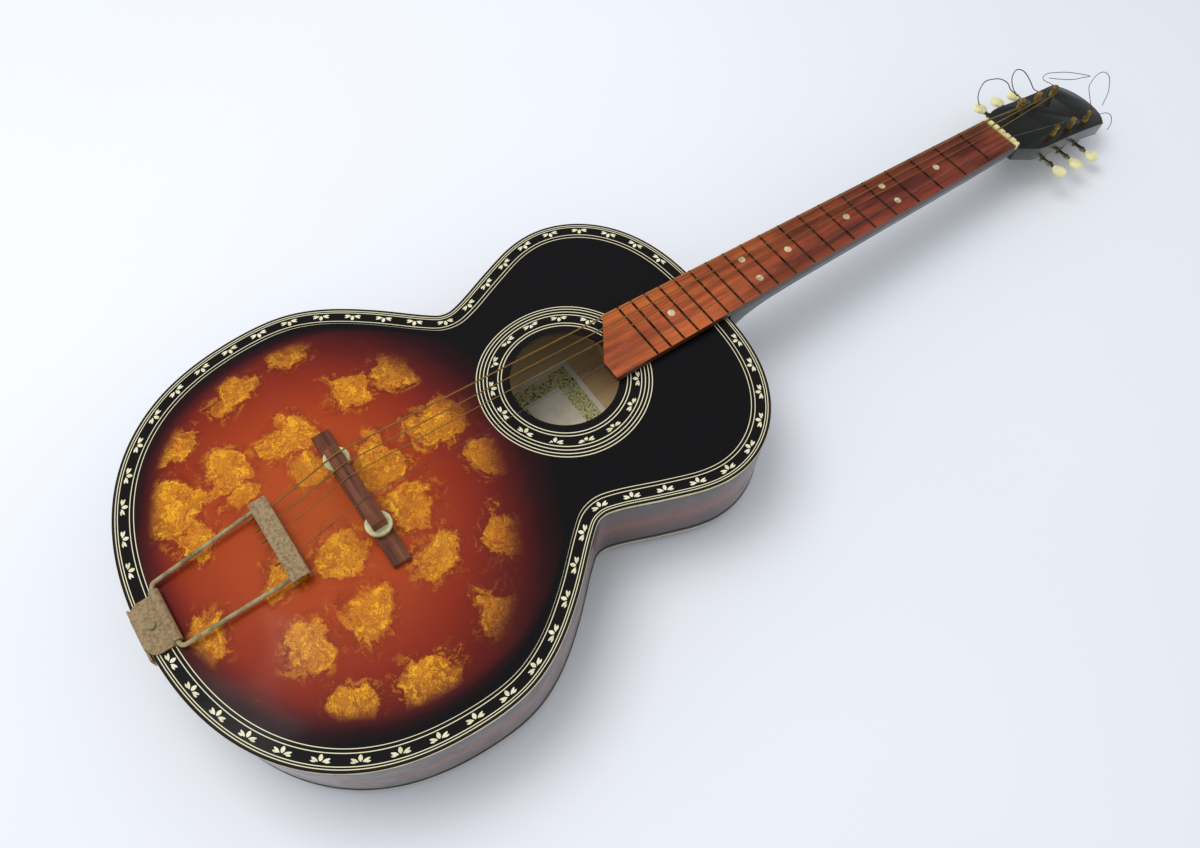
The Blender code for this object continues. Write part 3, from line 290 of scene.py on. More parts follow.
def makeTopMaterial():
    look = topLook
    material, tree, shader, spot = startMaterial(
        "topLacquer", Coat_Weight=0.30, Coat_Roughness=0.10, Specular_IOR_Level=0.30)
    axes = place(tree, "ShaderNodeSeparateXYZ", {0: spot})
    x, y = axes.outputs[0], axes.outputs[1]
    rim = place(tree, "ShaderNodeAttribute", attribute_name="rimDepth").outputs["Fac"]
    fromHole = calc(tree, "SQRT", calc(tree, "ADD", calc(tree, "MULTIPLY", x, x), calc(
        tree, "POWER", calc(tree, "ABSOLUTE", calc(tree, "SUBTRACT", y, holeY)), 2.0)))

    # The burst: an oval that reaches further to the tail than to the neck
    across = calc(tree, "DIVIDE", calc(tree, "SUBTRACT", x, look["burstCentre"][0]), look["reachX"])
    along = calc(tree, "SUBTRACT", y, look["burstCentre"][1])
    up = calc(tree, "DIVIDE", calc(tree, "MAXIMUM", along, 0.0), look["reachNeck"])
    down = calc(tree, "DIVIDE", calc(tree, "MINIMUM", along, 0.0), look["reachTail"])
    lengthwise = calc(tree, "ADD", up, down)
    oval = calc(tree, "SQRT", calc(tree, "ADD", calc(tree, "POWER", calc(
        tree, "ABSOLUTE", across), 2.0), calc(tree, "POWER", calc(
            tree, "ABSOLUTE", lengthwise), 2.0)))
    cloud = place(tree, "ShaderNodeTexNoise", {"Vector": spot, "Scale": 9.0, "Detail": 6.0,
                                               "Roughness": 0.62}).outputs[0]
    burst = calc(tree, "ADD", oval, calc(tree, "MULTIPLY", calc(tree, "SUBTRACT", cloud, 0.5), 0.16))
    burst = calc(tree, "ADD", burst, fade(tree, rim, 0.014, 0.046, 0.24, 0.0))
    body = ramp(tree, calc(tree, "DIVIDE", burst, look["span"]), look["stops"])

    # Amber patches, torn at their edges and scribbled over with darker strokes
    coarse = place(tree, "ShaderNodeTexNoise", {"Vector": spot, "Scale": 38.0, "Detail": 3.0})
    fine = place(tree, "ShaderNodeTexNoise", {"Vector": spot, "Scale": 170.0, "Detail": 4.0,
                                              "Roughness": 0.7})
    push = place(tree, "ShaderNodeVectorMath", {0: coarse.outputs["Color"], 1: (0.5, 0.5, 0.5)},
                 operation="SUBTRACT").outputs[0]
    pushFine = place(tree, "ShaderNodeVectorMath", {0: fine.outputs["Color"], 1: (0.5, 0.5, 0.5)},
                     operation="SUBTRACT").outputs[0]
    shifted = place(tree, "ShaderNodeVectorMath", {0: push, 1: (0.036, 0.036, 0.0), 2: spot},
                    operation="MULTIPLY_ADD").outputs[0]
    shifted = place(tree, "ShaderNodeVectorMath", {0: pushFine, 1: (0.015, 0.015, 0.0), 2: shifted},
                    operation="MULTIPLY_ADD").outputs[0]
    flat = place(tree, "ShaderNodeVectorMath", {0: shifted, 1: (1.0, 1.0, 0.0)},
                 operation="MULTIPLY").outputs[0]
    cells = place(tree, "ShaderNodeTexVoronoi", {"Vector": flat, "Scale": look["blobScale"],
                                                 "Randomness": 0.75}, voronoi_dimensions="2D")
    jitter = place(tree, "ShaderNodeSeparateColor", {0: cells.outputs["Color"]}).outputs[0]
    size = calc(tree, "MULTIPLY_ADD", jitter, 0.22, 0.20)
    within = calc(tree, "SUBTRACT", size, cells.outputs["Distance"])
    blob = fade(tree, within, -0.01, 0.055)
    swirl = place(tree, "ShaderNodeTexNoise", {"Vector": shifted, "Scale": 55.0, "Detail": 7.0,
                                               "Roughness": 0.68, "Distortion": 2.6}).outputs[0]
    ridge = calc(tree, "ABSOLUTE", calc(tree, "SUBTRACT", swirl, 0.5))
    strokes = fade(tree, ridge, 0.008, 0.040, 1.0, 0.0)
    # Petal-like strokes that run round the middle of each patch
    local = place(tree, "ShaderNodeVectorMath", {0: flat, 1: cells.outputs["Position"]},
                  operation="SUBTRACT").outputs[0]
    away = place(tree, "ShaderNodeVectorMath", {0: local}, operation="LENGTH").outputs["Value"]
    facing = place(tree, "ShaderNodeVectorMath", {0: local}, operation="NORMALIZE").outputs[0]
    rings = place(tree, "ShaderNodeCombineXYZ", {2: calc(tree, "MULTIPLY", away, 210.0)}).outputs[0]
    petal = place(tree, "ShaderNodeVectorMath", {0: facing, 1: (0.85, 0.85, 0.0), 2: rings},
                  operation="MULTIPLY_ADD").outputs[0]
    arcs = place(tree, "ShaderNodeTexNoise", {"Vector": petal, "Scale": 1.0, "Detail": 4.0,
                                              "Roughness": 0.65, "Distortion": 0.5}).outputs[0]
    arcs = fade(tree, calc(tree, "ABSOLUTE", calc(tree, "SUBTRACT", arcs, 0.5)), 0.012, 0.060,
                1.0, 0.0)
    strokes = calc(tree, "MAXIMUM", calc(tree, "MULTIPLY", strokes, 0.75), arcs)
    flecks = fade(tree, place(tree, "ShaderNodeTexNoise", {
        "Vector": shifted, "Scale": 120.0, "Detail": 6.0, "Roughness": 0.75}).outputs[0], 0.52, 0.60)
    near = fade(tree, within, -0.20, 0.0)
    patch = calc(tree, "MAXIMUM", calc(tree, "MULTIPLY", blob, calc(
        tree, "SUBTRACT", 1.0, calc(tree, "MULTIPLY", strokes, 0.72))), calc(
            tree, "MULTIPLY", calc(tree, "MULTIPLY", near, flecks), 0.55))
    bounds = fade(tree, burst, 0.76, 0.96, 1.0, 0.0)
    patch = calc(tree, "MULTIPLY", patch, bounds)
    amber = mixColour(tree, fade(tree, swirl, 0.36, 0.62), look["amberDeep"], look["amber"])
    torn = calc(tree, "MULTIPLY", calc(tree, "MULTIPLY", near, strokes), bounds)
    body = mixColour(tree, calc(tree, "MULTIPLY", torn, 0.5), body, look["stroke"])
    body = mixColour(tree, patch, body, amber)

    # The black border and rosette with their cream lines
    dark = calc(tree, "MAXIMUM", fade(tree, rim, look["rimBlack"] - 0.0001, look["rimBlack"],
                                      1.0, 0.0),
                fade(tree, fromHole, look["holeBlack"] - 0.0001, look["holeBlack"], 1.0, 0.0))
    body = mixColour(tree, dark, body, (0.0065, 0.0050, 0.0052, 1.0))
    lines = None
    for distance, centres, half in ((rim, look["rimLines"], 0.00028),
                                    (fromHole, look["holeLines"], 0.00034)):
        for centre in centres:
            values = {"Distance": distance, "Centre": centre, "HalfWidth": half}
            mask = useGroup(tree, lineMask, values).outputs[0]
            lines = mask if lines is None else calc(tree, "MAXIMUM", lines, mask)
    body = mixColour(tree, lines, body, cream)
    worn = useGroup(tree, wear, {"Vector": spot, "Scale": 26.0, "Amount": 0.5})
    feed(tree, shader, Base_Color=body, Roughness=calc(
        tree, "ADD", 0.30, calc(tree, "MULTIPLY", worn.outputs["Patches"], 0.20)))
    relief(tree, shader, calc(tree, "ADD", worn.outputs["Height"], calc(
        tree, "MULTIPLY", patch, 0.5)), 0.08, 0.0006)
    return material


def makeLacquer(name, stops, axis, centre, reach, roughness=0.28, coat=0.5, mottle=0.35):
    """Gloss over a colour that changes with the distance from a level."""
    material, tree, shader, spot = startMaterial(name, Coat_Weight=coat, Coat_Roughness=0.12)
    level = place(tree, "ShaderNodeSeparateXYZ", {0: spot}).outputs[axis]
    off = calc(tree, "DIVIDE", calc(tree, "ABSOLUTE", calc(tree, "SUBTRACT", level, centre)), reach)
    cloud = place(tree, "ShaderNodeTexNoise", {"Vector": spot, "Scale": 14.0, "Detail": 5.0,
                                               "Roughness": 0.6}).outputs[0]
    value = calc(tree, "ADD", off, calc(tree, "MULTIPLY", calc(
        tree, "SUBTRACT", cloud, 0.5), mottle * 2.0))
    worn = useGroup(tree, wear, {"Vector": spot, "Scale": 30.0, "Amount": 0.5})
    colour = mixColour(tree, calc(tree, "MULTIPLY", worn.outputs["Specks"], 0.10),
                       ramp(tree, value, stops), tint(150, 130, 110))
    feed(tree, shader, Base_Color=colour, Roughness=calc(
        tree, "ADD", roughness, calc(tree, "MULTIPLY", worn.outputs["Patches"], 0.25)))
    relief(tree, shader, worn.outputs["Height"], 0.08, 0.0005)
    return material


def makeWood(name, light, dark, along, scale, roughness, poreShare=0.5, height=0.25):
    material, tree, shader, spot = startMaterial(name, Coat_Weight=0.08, Coat_Roughness=0.3)
    grain = useGroup(tree, woodGrain, {"Vector": spot, "Along": along, "Scale": scale})
    colour = mixColour(tree, grain.outputs["Streak"], dark, light)
    poreColour = tuple(0.25 * part for part in dark[:3]) + (1.0,)
    colour = mixColour(tree, calc(tree, "MULTIPLY", grain.outputs["Pores"], poreShare),
                       colour, poreColour)
    worn = useGroup(tree, wear, {"Vector": spot, "Scale": 18.0, "Amount": 0.6})
    rough = calc(tree, "ADD", roughness, calc(tree, "MULTIPLY", worn.outputs["Patches"], 0.15))
    feed(tree, shader, Base_Color=colour, Roughness=rough)
    relief(tree, shader, grain.outputs["Height"], height, 0.0004)
    return material


def makeBoardWood():
    """Rosewood that is lighter and more orange towards the body, with darker patches and darker upright
    sides.
    """
    material, tree, shader, spot = startMaterial("rosewood", Coat_Weight=0.12, Coat_Roughness=0.35)
    grain = useGroup(tree, woodGrain, {"Vector": spot, "Along": (1.0, 0.05, 1.0), "Scale": 330.0})
    y = place(tree, "ShaderNodeSeparateXYZ", {0: spot}).outputs[1]
    nearBody = fade(tree, y, -0.12, 0.20, 1.0, 0.0)
    light = mixColour(tree, nearBody, tint(146, 62, 36), tint(206, 106, 48))
    dark = mixColour(tree, nearBody, tint(84, 32, 24), tint(148, 64, 28))
    colour = mixColour(tree, grain.outputs["Streak"], dark, light)
    colour = mixColour(tree, calc(tree, "MULTIPLY", grain.outputs["Pores"], 0.55),
                       colour, tint(44, 14, 12))
    cross = place(tree, "ShaderNodeTexNoise", {"Vector": spot, "Scale": 16.0, "Detail": 4.0})
    colour = mixColour(tree, fade(tree, cross.outputs[0], 0.40, 0.70, 0.0, 0.30), colour,
                       tint(70, 26, 20))
    colour = mixColour(tree, calc(tree, "MULTIPLY", sideways(tree), 0.85), colour, tint(30, 20, 18))
    feed(tree, shader, Base_Color=colour, Roughness=calc(
        tree, "ADD", 0.38, calc(tree, "MULTIPLY", grain.outputs["Pores"], 0.3)))
    relief(tree, shader, grain.outputs["Height"], 0.3, 0.0003)
    return material


def makeMetal(name, base, aged, roughness, scale=60.0, rough=0.35, grit=0.25, metallic=1.0):
    material, tree, shader, spot = startMaterial(name, Metallic=metallic)
    worn = useGroup(tree, wear, {"Vector": spot, "Scale": scale, "Amount": 1.0})
    colour = mixColour(tree, worn.outputs["Patches"], base, aged)
    dirt = tuple(0.22 * part for part in aged[:3]) + (1.0,)
    colour = mixColour(tree, calc(tree, "MULTIPLY", worn.outputs["Specks"], 0.75), colour, dirt)
    feed(tree, shader, Base_Color=colour, Roughness=calc(
        tree, "ADD", roughness, calc(tree, "MULTIPLY", worn.outputs["Patches"], rough)))
    relief(tree, shader, worn.outputs["Height"], grit, 0.0004)
    return material


def makePlastic(name, light, deep, scale=40.0, roughness=0.32, glow=0.05):
    material, tree, shader, spot = startMaterial(
        name, Subsurface_Weight=glow, Subsurface_Scale=0.002, Coat_Weight=0.2)
    worn = useGroup(tree, wear, {"Vector": spot, "Scale": scale, "Amount": 0.8})
    colour = mixColour(tree, worn.outputs["Patches"], light, deep)
    colour = mixColour(tree, calc(tree, "MULTIPLY", worn.outputs["Specks"], 0.25), colour,
                       tuple(0.45 * part for part in deep[:3]) + (1.0,))
    feed(tree, shader, Base_Color=colour, Roughness=calc(
        tree, "ADD", roughness, calc(tree, "MULTIPLY", worn.outputs["Patches"], 0.2)))
    relief(tree, shader, worn.outputs["Height"], 0.06, 0.0003)
    return material


def makeStringMaterial(name, base, dark, pitch):
    """Fine turns of wire along a string, from the distance stored along it, with painted shade in the
    grooves between turns.
    """
    material, tree, shader, spot = startMaterial(name, Metallic=0.6)
    along = place(tree, "ShaderNodeAttribute", attribute_name="along").outputs["Fac"]
    turns = calc(tree, "SINE", calc(tree, "MULTIPLY", along, 2.0 * math.pi / pitch))
    worn = useGroup(tree, wear, {"Vector": spot, "Scale": 45.0, "Amount": 1.0})
    # Painted shade: the colour goes dark in the grooves between turns; the worn patches mixed in next are
    # tarnish.
    colour = mixColour(tree, fade(tree, turns, -1.0, 0.4), dark, base)
    colour = mixColour(tree, calc(tree, "MULTIPLY", worn.outputs["Patches"], 0.5), colour, dark)
    feed(tree, shader, Base_Color=colour, Roughness=calc(
        tree, "ADD", 0.34, calc(tree, "MULTIPLY", worn.outputs["Patches"], 0.3)))
    relief(tree, shader, turns, 0.4, 0.0001)
    return material


creamHeight = 0.0026
labelLook = {"bass": -0.058, "treble": 0.034, "tail": -0.530 + nutY, "neck": -0.456 + nutY,
             "bandFrom": 0.0045, "bandTo": 0.0200, "paper": tint(250, 242, 220),
             "green": tint(112, 108, 34), "gold": tint(222, 214, 158)}


def makeLabelMaterial():
    """Plain paper with a band of scrolls along its edges."""
    look = labelLook
    material, tree, shader, spot = startMaterial("paper", Roughness=0.8)
    axes = place(tree, "ShaderNodeSeparateXYZ", {0: spot})
    x, y = axes.outputs[0], axes.outputs[1]
    fromSide = calc(tree, "MINIMUM", calc(tree, "SUBTRACT", x, look["bass"]),
                    calc(tree, "SUBTRACT", look["treble"], x))
    fromEnd = calc(tree, "MINIMUM", calc(tree, "SUBTRACT", y, look["tail"]),
                   calc(tree, "SUBTRACT", look["neck"], y))
    inside = calc(tree, "MINIMUM", fromSide, fromEnd)
    band = calc(tree, "MULTIPLY", fade(tree, inside, look["bandFrom"], look["bandFrom"] + 0.0002),
                fade(tree, inside, look["bandTo"], look["bandTo"] + 0.0002, 1.0, 0.0))
    scroll = place(tree, "ShaderNodeTexNoise", {"Vector": spot, "Scale": 120.0, "Detail": 1.0,
                                                "Distortion": 2.4}).outputs[0]
    curls = fade(tree, calc(tree, "ABSOLUTE", calc(tree, "SUBTRACT", scroll, 0.5)), 0.03, 0.05,
                 1.0, 0.0)
    colour = mixColour(tree, curls, look["gold"], look["green"])
    stain = place(tree, "ShaderNodeTexNoise", {"Vector": spot, "Scale": 40.0, "Detail": 5.0})
    paper = mixColour(tree, fade(tree, stain.outputs[0], 0.4, 0.7, 0.0, 0.4), look["paper"],
                      tint(190, 168, 120))
    feed(tree, shader, Base_Color=mixColour(tree, band, paper, colour))
    relief(tree, shader, stain.outputs[0], 0.1, 0.0003)
    return material


def makeBindingMaterial():
    """Cream on the outer face beside the edge; dark lacquer runs over the rest of the strip."""
    material, tree, shader, spot = startMaterial("bindingPlastic", Coat_Weight=0.3)
    z = place(tree, "ShaderNodeSeparateXYZ", {0: spot}).outputs[2]
    worn = useGroup(tree, wear, {"Vector": spot, "Scale": 40.0, "Amount": 0.9})
    ragged = calc(tree, "ADD", z, calc(tree, "MULTIPLY", worn.outputs["Specks"], 0.0003))
    upper = fade(tree, ragged, rimZ - creamHeight, rimZ - creamHeight + 0.0003)
    backEdge = rimZ - sideDepth + creamHeight
    lower = fade(tree, ragged, backEdge - 0.0003, backEdge, 1.0, 0.0)
    colour = mixColour(tree, worn.outputs["Patches"], tint(222, 212, 166), tint(186, 172, 120))
    bare = calc(tree, "MULTIPLY", calc(tree, "MAXIMUM", upper, lower), sideways(tree))
    colour = mixColour(tree, bare, tint(30, 22, 22), colour)
    feed(tree, shader, Base_Color=colour, Roughness=calc(
        tree, "ADD", 0.34, calc(tree, "MULTIPLY", worn.outputs["Patches"], 0.2)))
    relief(tree, shader, worn.outputs["Height"], 0.06, 0.0003)
    return material


blackStops = [(0.0, tint(22, 27, 24)), (0.6, tint(15, 19, 17)), (1.0, tint(9, 11, 10))]
ribStops = [(0.0, tint(112, 44, 22)), (0.30, tint(74, 30, 20)), (0.62, tint(42, 24, 22)),
            (1.0, tint(26, 22, 24))]
backStops = [(0.0, tint(96, 36, 20)), (0.5, tint(66, 26, 18)), (1.0, tint(26, 16, 16))]
looks = {
    "top": makeTopMaterial(),
    "rib": makeLacquer("ribLacquer", ribStops, 2, rimZ - 0.5 * sideDepth, 0.042),
    "back": makeLacquer("backLacquer", backStops, 0, 0.0, 0.19),
    "neck": makeLacquer("neckLacquer", blackStops, 2, 0.0, 0.10, mottle=0.2),
    "innerWood": makeWood("innerWood", tint(244, 214, 164), tint(218, 180, 128), (1.0, 0.05, 1.0),
                          120.0, 0.75),
    "board": makeBoardWood(),
    "bridge": makeWood("bridgeWood", tint(132, 76, 50), tint(78, 42, 30), (0.06, 1.0, 1.0), 330.0,
                       0.5),
    "binding": makeBindingMaterial(),
    "nut": makePlastic("nutBone", tint(232, 222, 160), tint(190, 170, 108), 90.0, 0.4),
    "pearl": makePlastic("pearl", tint(236, 230, 200), tint(206, 196, 150), 130.0, 0.25),
    "dot": makePlastic("dotPearl", tint(214, 196, 158), tint(170, 146, 110), 160.0, 0.3),
    "wheel": makePlastic("wheelPlastic", tint(222, 218, 172), tint(180, 172, 120), 60.0, 0.4),
    "button": makePlastic("buttonPlastic", tint(242, 236, 184), tint(214, 202, 140), 50.0, 0.28),
    "khaki": makeMetal("khakiPaint", tint(176, 152, 114), tint(138, 114, 82), 0.50, 420.0,
                       grit=0.6, metallic=0.25),
    "wire": makeMetal("agedWire", tint(206, 192, 142), tint(150, 134, 92), 0.34, 90.0,
                      metallic=0.5),
    "steel": makeMetal("agedSteel", tint(186, 184, 172), tint(120, 112, 88), 0.30, 70.0),
    "brass": makeMetal("dullBrass", tint(178, 150, 76), tint(112, 88, 44), 0.36, 90.0,
                       metallic=0.6),
    "fret": makeMetal("fretMetal", tint(142, 120, 92), tint(88, 66, 48), 0.38, 120.0),
    "plate": makeMetal("plateMetal", tint(150, 136, 92), tint(96, 84, 54), 0.40, 60.0),
    "wound": makeStringMaterial("woundString", tint(206, 164, 84), tint(120, 88, 44), 0.00060),
    "plain": makeMetal("plainString", tint(206, 206, 202), tint(150, 146, 136), 0.25, 60.0),
    "curl": makeMetal("looseString", tint(120, 92, 104), tint(62, 48, 60), 0.40, 90.0),
    "label": makeLabelMaterial(),
}
print("materials made")


# --- Piece building ---
def link(name, mesh, look, body, *replaced, smooth=35.0):
    """A piece at the origin with its material, riding on a body, in place of CAD nodes."""
    if look is not None:
        mesh.materials.clear()
        mesh.materials.append(look)
    mesh.shade_smooth()
    mesh.set_sharp_from_angle(angle=math.radians(smooth))
    piece = bpy.data.objects.new(name, mesh)
    collection.objects.link(piece)
    if body is not None:
        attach(piece, body)
    if replaced:
        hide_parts(*replaced)
    return piece


def meshFrom(name, points, faces):
    """A closed mesh with its faces turned outwards."""
    mesh = bpy.data.meshes.new(name)
    mesh.from_pydata([tuple(p) for p in points], [], faces)
    bm = bmesh.new()
    bm.from_mesh(mesh)
    bmesh.ops.recalc_face_normals(bm, faces=bm.faces)
    bm.to_mesh(mesh)
    bm.free()
    return mesh


def loft(name, rings, closed=False):
    """Skins rings of equal count; open lofts get flat ends, closed ones meet themselves."""
    count = len(rings[0])
    points = [p for ring in rings for p in ring]
    faces = []
    for i in range(len(rings) if closed else len(rings) - 1):
        a, b = i * count, ((i + 1) % len(rings)) * count
        for k in range(count):
            n = (k + 1) % count
            faces.append((a + k, a + n, b + n, b + k))
    if not closed:
        faces.append(tuple(range(count))[::-1])
        faces.append(tuple(range(len(points) - count, len(points))))
    return meshFrom(name, points, faces)


def mergedCopy(node):
    """A node's mesh with its loose triangles joined and its flat faces made whole."""
    bm = bmesh.new()
    bm.from_mesh(nodes[node].data)
    bmesh.ops.transform(bm, matrix=nodes[node].matrix_world, verts=bm.verts)
    bmesh.ops.remove_doubles(bm, verts=bm.verts, dist=0.00001)
    bmesh.ops.dissolve_limit(bm, angle_limit=math.radians(0.6), verts=bm.verts, edges=bm.edges)
    bmesh.ops.recalc_face_normals(bm, faces=bm.faces)
    mesh = bpy.data.meshes.new(node + "Fine")
    bm.to_mesh(mesh)
    bm.free()
    return mesh


def applied(piece):
    """Bakes a piece's modifiers into its mesh."""
    bpy.context.view_layer.update()
    graph = bpy.context.evaluated_depsgraph_get()
    mesh = bpy.data.meshes.new_from_object(piece.evaluated_get(graph))
    piece.modifiers.clear()
    piece.data = mesh
    return piece


def refined(node, look, body, width=0.0005, segments=2, angle=32.0):
    """Stands for a CAD node with its edges softened."""
    mesh = mergedCopy(node)
    piece = link(node + "Fine", mesh, look, None)
    bevel = piece.modifiers.new("edges", "BEVEL")
    bevel.width = width
    bevel.segments = segments
    bevel.limit_method = "ANGLE"
    bevel.angle_limit = math.radians(angle)
    bevel.harden_normals = False
    applied(piece)
    piece.data.shade_smooth()
    piece.data.set_sharp_from_angle(angle=math.radians(42.0))
    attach(piece, body)
    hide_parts(node)
    return piece


# --- Geometry nodes ---
def makeBarTree():
    """A round bar along a path, with the distance along it kept for its material."""
    tree = bpy.data.node_groups.new("barAlongPath", "GeometryNodeTree")
    face = tree.interface
    for label, kind in (("Geometry", "NodeSocketGeometry"), ("Radius", "NodeSocketFloat"),
                        ("Spacing", "NodeSocketFloat"), ("Sides", "NodeSocketInt"),
                        ("Material", "NodeSocketMaterial")):
        face.new_socket(label, in_out="INPUT", socket_type=kind)
    face.new_socket("Geometry", in_out="OUTPUT", socket_type="NodeSocketGeometry")
    start, end = tree.nodes.new("NodeGroupInput"), tree.nodes.new("NodeGroupOutput")
    curve = place(tree, "GeometryNodeMeshToCurve", {0: start.outputs["Geometry"]})
    bent = place(tree, "GeometryNodeCurveSplineType", {0: curve.outputs[0]},
                 spline_type="CATMULL_ROM")
    even = place(tree, "GeometryNodeResampleCurve", {
        "Curve": bent.outputs[0], "Length": start.outputs["Spacing"]}, mode="LENGTH")
    measure = tree.nodes.new("GeometryNodeSplineParameter")
    marked = place(tree, "GeometryNodeStoreNamedAttribute", {
        "Geometry": even.outputs[0], "Name": "along", "Value": measure.outputs["Length"]},
        data_type="FLOAT", domain="POINT")
    round_ = place(tree, "GeometryNodeCurvePrimitiveCircle", {
        "Resolution": start.outputs["Sides"], "Radius": start.outputs["Radius"]}, mode="RADIUS")
    bar = place(tree, "GeometryNodeCurveToMesh", {
        "Curve": marked.outputs[0], "Profile Curve": round_.outputs[0], "Fill Caps": True})
    smooth = place(tree, "GeometryNodeSetShadeSmooth", {"Geometry": bar.outputs[0]})
    real = place(tree, "GeometryNodeRealizeInstances", {"Geometry": smooth.outputs[0]})
    done = place(tree, "GeometryNodeSetMaterial", {
        "Geometry": real.outputs[0], "Material": start.outputs["Material"]})
    tree.links.new(done.outputs[0], end.inputs[0])
    return tree


def makeSprigTree():
    """One motif at each point of a mesh, turned by the heading stored there."""
    tree = bpy.data.node_groups.new("sprigRow", "GeometryNodeTree")
    face = tree.interface
    for label, kind in (("Geometry", "NodeSocketGeometry"), ("Motif", "NodeSocketObject"),
                        ("Material", "NodeSocketMaterial")):
        face.new_socket(label, in_out="INPUT", socket_type=kind)
    face.new_socket("Geometry", in_out="OUTPUT", socket_type="NodeSocketGeometry")
    start, end = tree.nodes.new("NodeGroupInput"), tree.nodes.new("NodeGroupOutput")
    points = place(tree, "GeometryNodeMeshToPoints", {"Mesh": start.outputs["Geometry"]})
    heading = place(tree, "GeometryNodeInputNamedAttribute", {"Name": "heading"}, data_type="FLOAT")
    turn = place(tree, "ShaderNodeCombineXYZ", {2: heading.outputs[0]})
    motif = place(tree, "GeometryNodeObjectInfo", {"Object": start.outputs["Motif"]})
    copies = place(tree, "GeometryNodeInstanceOnPoints", {
        "Points": points.outputs[0], "Instance": motif.outputs["Geometry"],
        "Rotation": turn.outputs[0]})
    real = place(tree, "GeometryNodeRealizeInstances", {"Geometry": copies.outputs[0]})
    done = place(tree, "GeometryNodeSetMaterial", {
        "Geometry": real.outputs[0], "Material": start.outputs["Material"]})
    tree.links.new(done.outputs[0], end.inputs[0])
    return tree


barTree = makeBarTree()
sprigTree = makeSprigTree()


def applyTree(piece, tree, values):
    """Runs a node tree on a piece with named values and keeps the result as plain mesh."""
    step = piece.modifiers.new("shape", "NODES")
    step.node_group = tree
    for item in tree.interface.items_tree:
        if item.item_type == "SOCKET" and item.in_out == "INPUT" and item.name in values:
            step[item.identifier] = values[item.name]
    return applied(piece)


def barPiece(name, routes, radius, look, spacing=0.004, sides=10):
    """Round bars along one or several routes, as one piece."""
    points, edges = [], []
    for route in routes:
        start = len(points)
        points += [tuple(p) for p in route]
        edges += [(start + i, start + i + 1) for i in range(len(route) - 1)]
    mesh = bpy.data.meshes.new(name)
    mesh.from_pydata(points, edges, [])
    piece = bpy.data.objects.new(name, mesh)
    collection.objects.link(piece)
    values = {"Radius": radius, "Spacing": spacing, "Sides": sides, "Material": look}
    return applyTree(piece, barTree, values)


# --- The body's outline, read from the frame's top binding ---
def readOutline():
    """The 52 outer corners at the rim's height, in order round the sound hole."""
    spots = {}
    for vertex in nodes["top_binding"].data.vertices:
        p = nodes["top_binding"].matrix_world @ vertex.co
        if p.z > rimZ - 0.0005:
            spots[(round(p.x, 6), round(p.y, 6))] = math.atan2(p.x, p.y - holeY)
    ordered = sorted(spots, key=lambda p: spots[p])
    reach = [math.hypot(p[0], p[1] - holeY) for p in ordered]
    outer = []
    for i, p in enumerate(ordered):
        mate = min((q for q in ordered if q != p), key=lambda q: math.dist(p, q))
        if math.hypot(mate[0], mate[1] - holeY) < reach[i]:
            outer.append(p)
    return np.array(outer)


def smoothLoop(points, steps):
    """A closed curve through points, as steps places in each span."""
    result = []
    count = len(points)
    for i in range(count):
        p0, p1, p2, p3 = (points[(i + k) % count] for k in (-1, 0, 1, 2))
        for k in range(steps):
            t = k / steps
            result.append(0.5 * (2 * p1 + (p2 - p0) * t + (2 * p0 - 5 * p1 + 4 * p2 - p3) * t ** 2
                                 + (3 * p1 - p0 - 3 * p2 + p3) * t ** 3))
    return np.array(result)


corners = readOutline()
assert len(corners) == 52, len(corners)
rawOutline = smoothLoop(corners, stepsPerSpan)
headings = np.roll(rawOutline, -1, axis=0) - np.roll(rawOutline, 1, axis=0)
headings /= np.linalg.norm(headings, axis=1)[:, None]
inwards = np.stack([headings[:, 1], -headings[:, 0]], axis=1)
if np.mean(np.sum(inwards * (rawOutline - np.array([0.0, holeY])), axis=1)) > 0:
    inwards = -inwards
outline = rawOutline + inwards * tuck
middles = 0.5 * (outline + np.roll(outline, -1, axis=0))
lengths = np.linalg.norm(np.roll(outline, -1, axis=0) - outline, axis=1)
ringCount = len(outline)


def insetLoop(inset):
    return outline + inwards * inset


def depthAt(spots):
    """How far inside the outline each point lies, blended over all of it."""
    away = np.linalg.norm(spots[:, None, :] - middles[None, :, :], axis=2)
    return np.sqrt(2.0 / np.sum(lengths[None, :] / np.maximum(away, 1e-5) ** 3, axis=1))


def swell(spots, span):
    t = np.clip((depthAt(spots) - borderWidth) / span, 0.0, 1.0)
    return t * t * (3.0 - 2.0 * t)


def topHeight(spots):
    return rimZ + topArch * swell(spots, topSwell)


def ringOf(spots, heights):
    return [(x, y, z) for (x, y), z in zip(spots, heights)]


def makeTop():
    """The arched top as a closed shell, with each point's depth from the outline kept."""
    border = insetLoop(borderWidth)
    reach = np.hypot(border[:, 0], border[:, 1] - holeY)
    centre = np.array([0.0, holeY])
    loops, depths = [], []
    for share in np.linspace(0.0, 1.0, 30) ** 0.95:
        radius = holeRadius + (reach - holeRadius) * share
        loops.append(centre + (border - centre) * (radius / reach)[:, None])
        depths.append(borderWidth + (reach - radius))
    for inset in (0.0125, 0.010, 0.007, 0.004, plateInset):
        loops.append(insetLoop(inset))
        depths.append(np.full(ringCount, inset))
    upper = [ringOf(spots, topHeight(spots)) for spots in loops]
    lower = [ringOf(spots, topHeight(spots) - topThickness) for spots in loops[::-4]]
    if len(loops[::-4]) and not np.allclose(loops[::-4][-1], loops[0]):
        lower.append(ringOf(loops[0], topHeight(loops[0]) - topThickness))
    mesh = loft("top", upper + lower, closed=True)
    kept = np.concatenate(depths + [np.full(ringCount, 0.05)] * len(lower))
    attribute = mesh.attributes.new("rimDepth", "FLOAT", "POINT")
    attribute.data.foreach_set("value", kept.astype(np.float32))
    link("archedTop", mesh, looks["top"], "guitar", "top_plate", smooth=50.0)


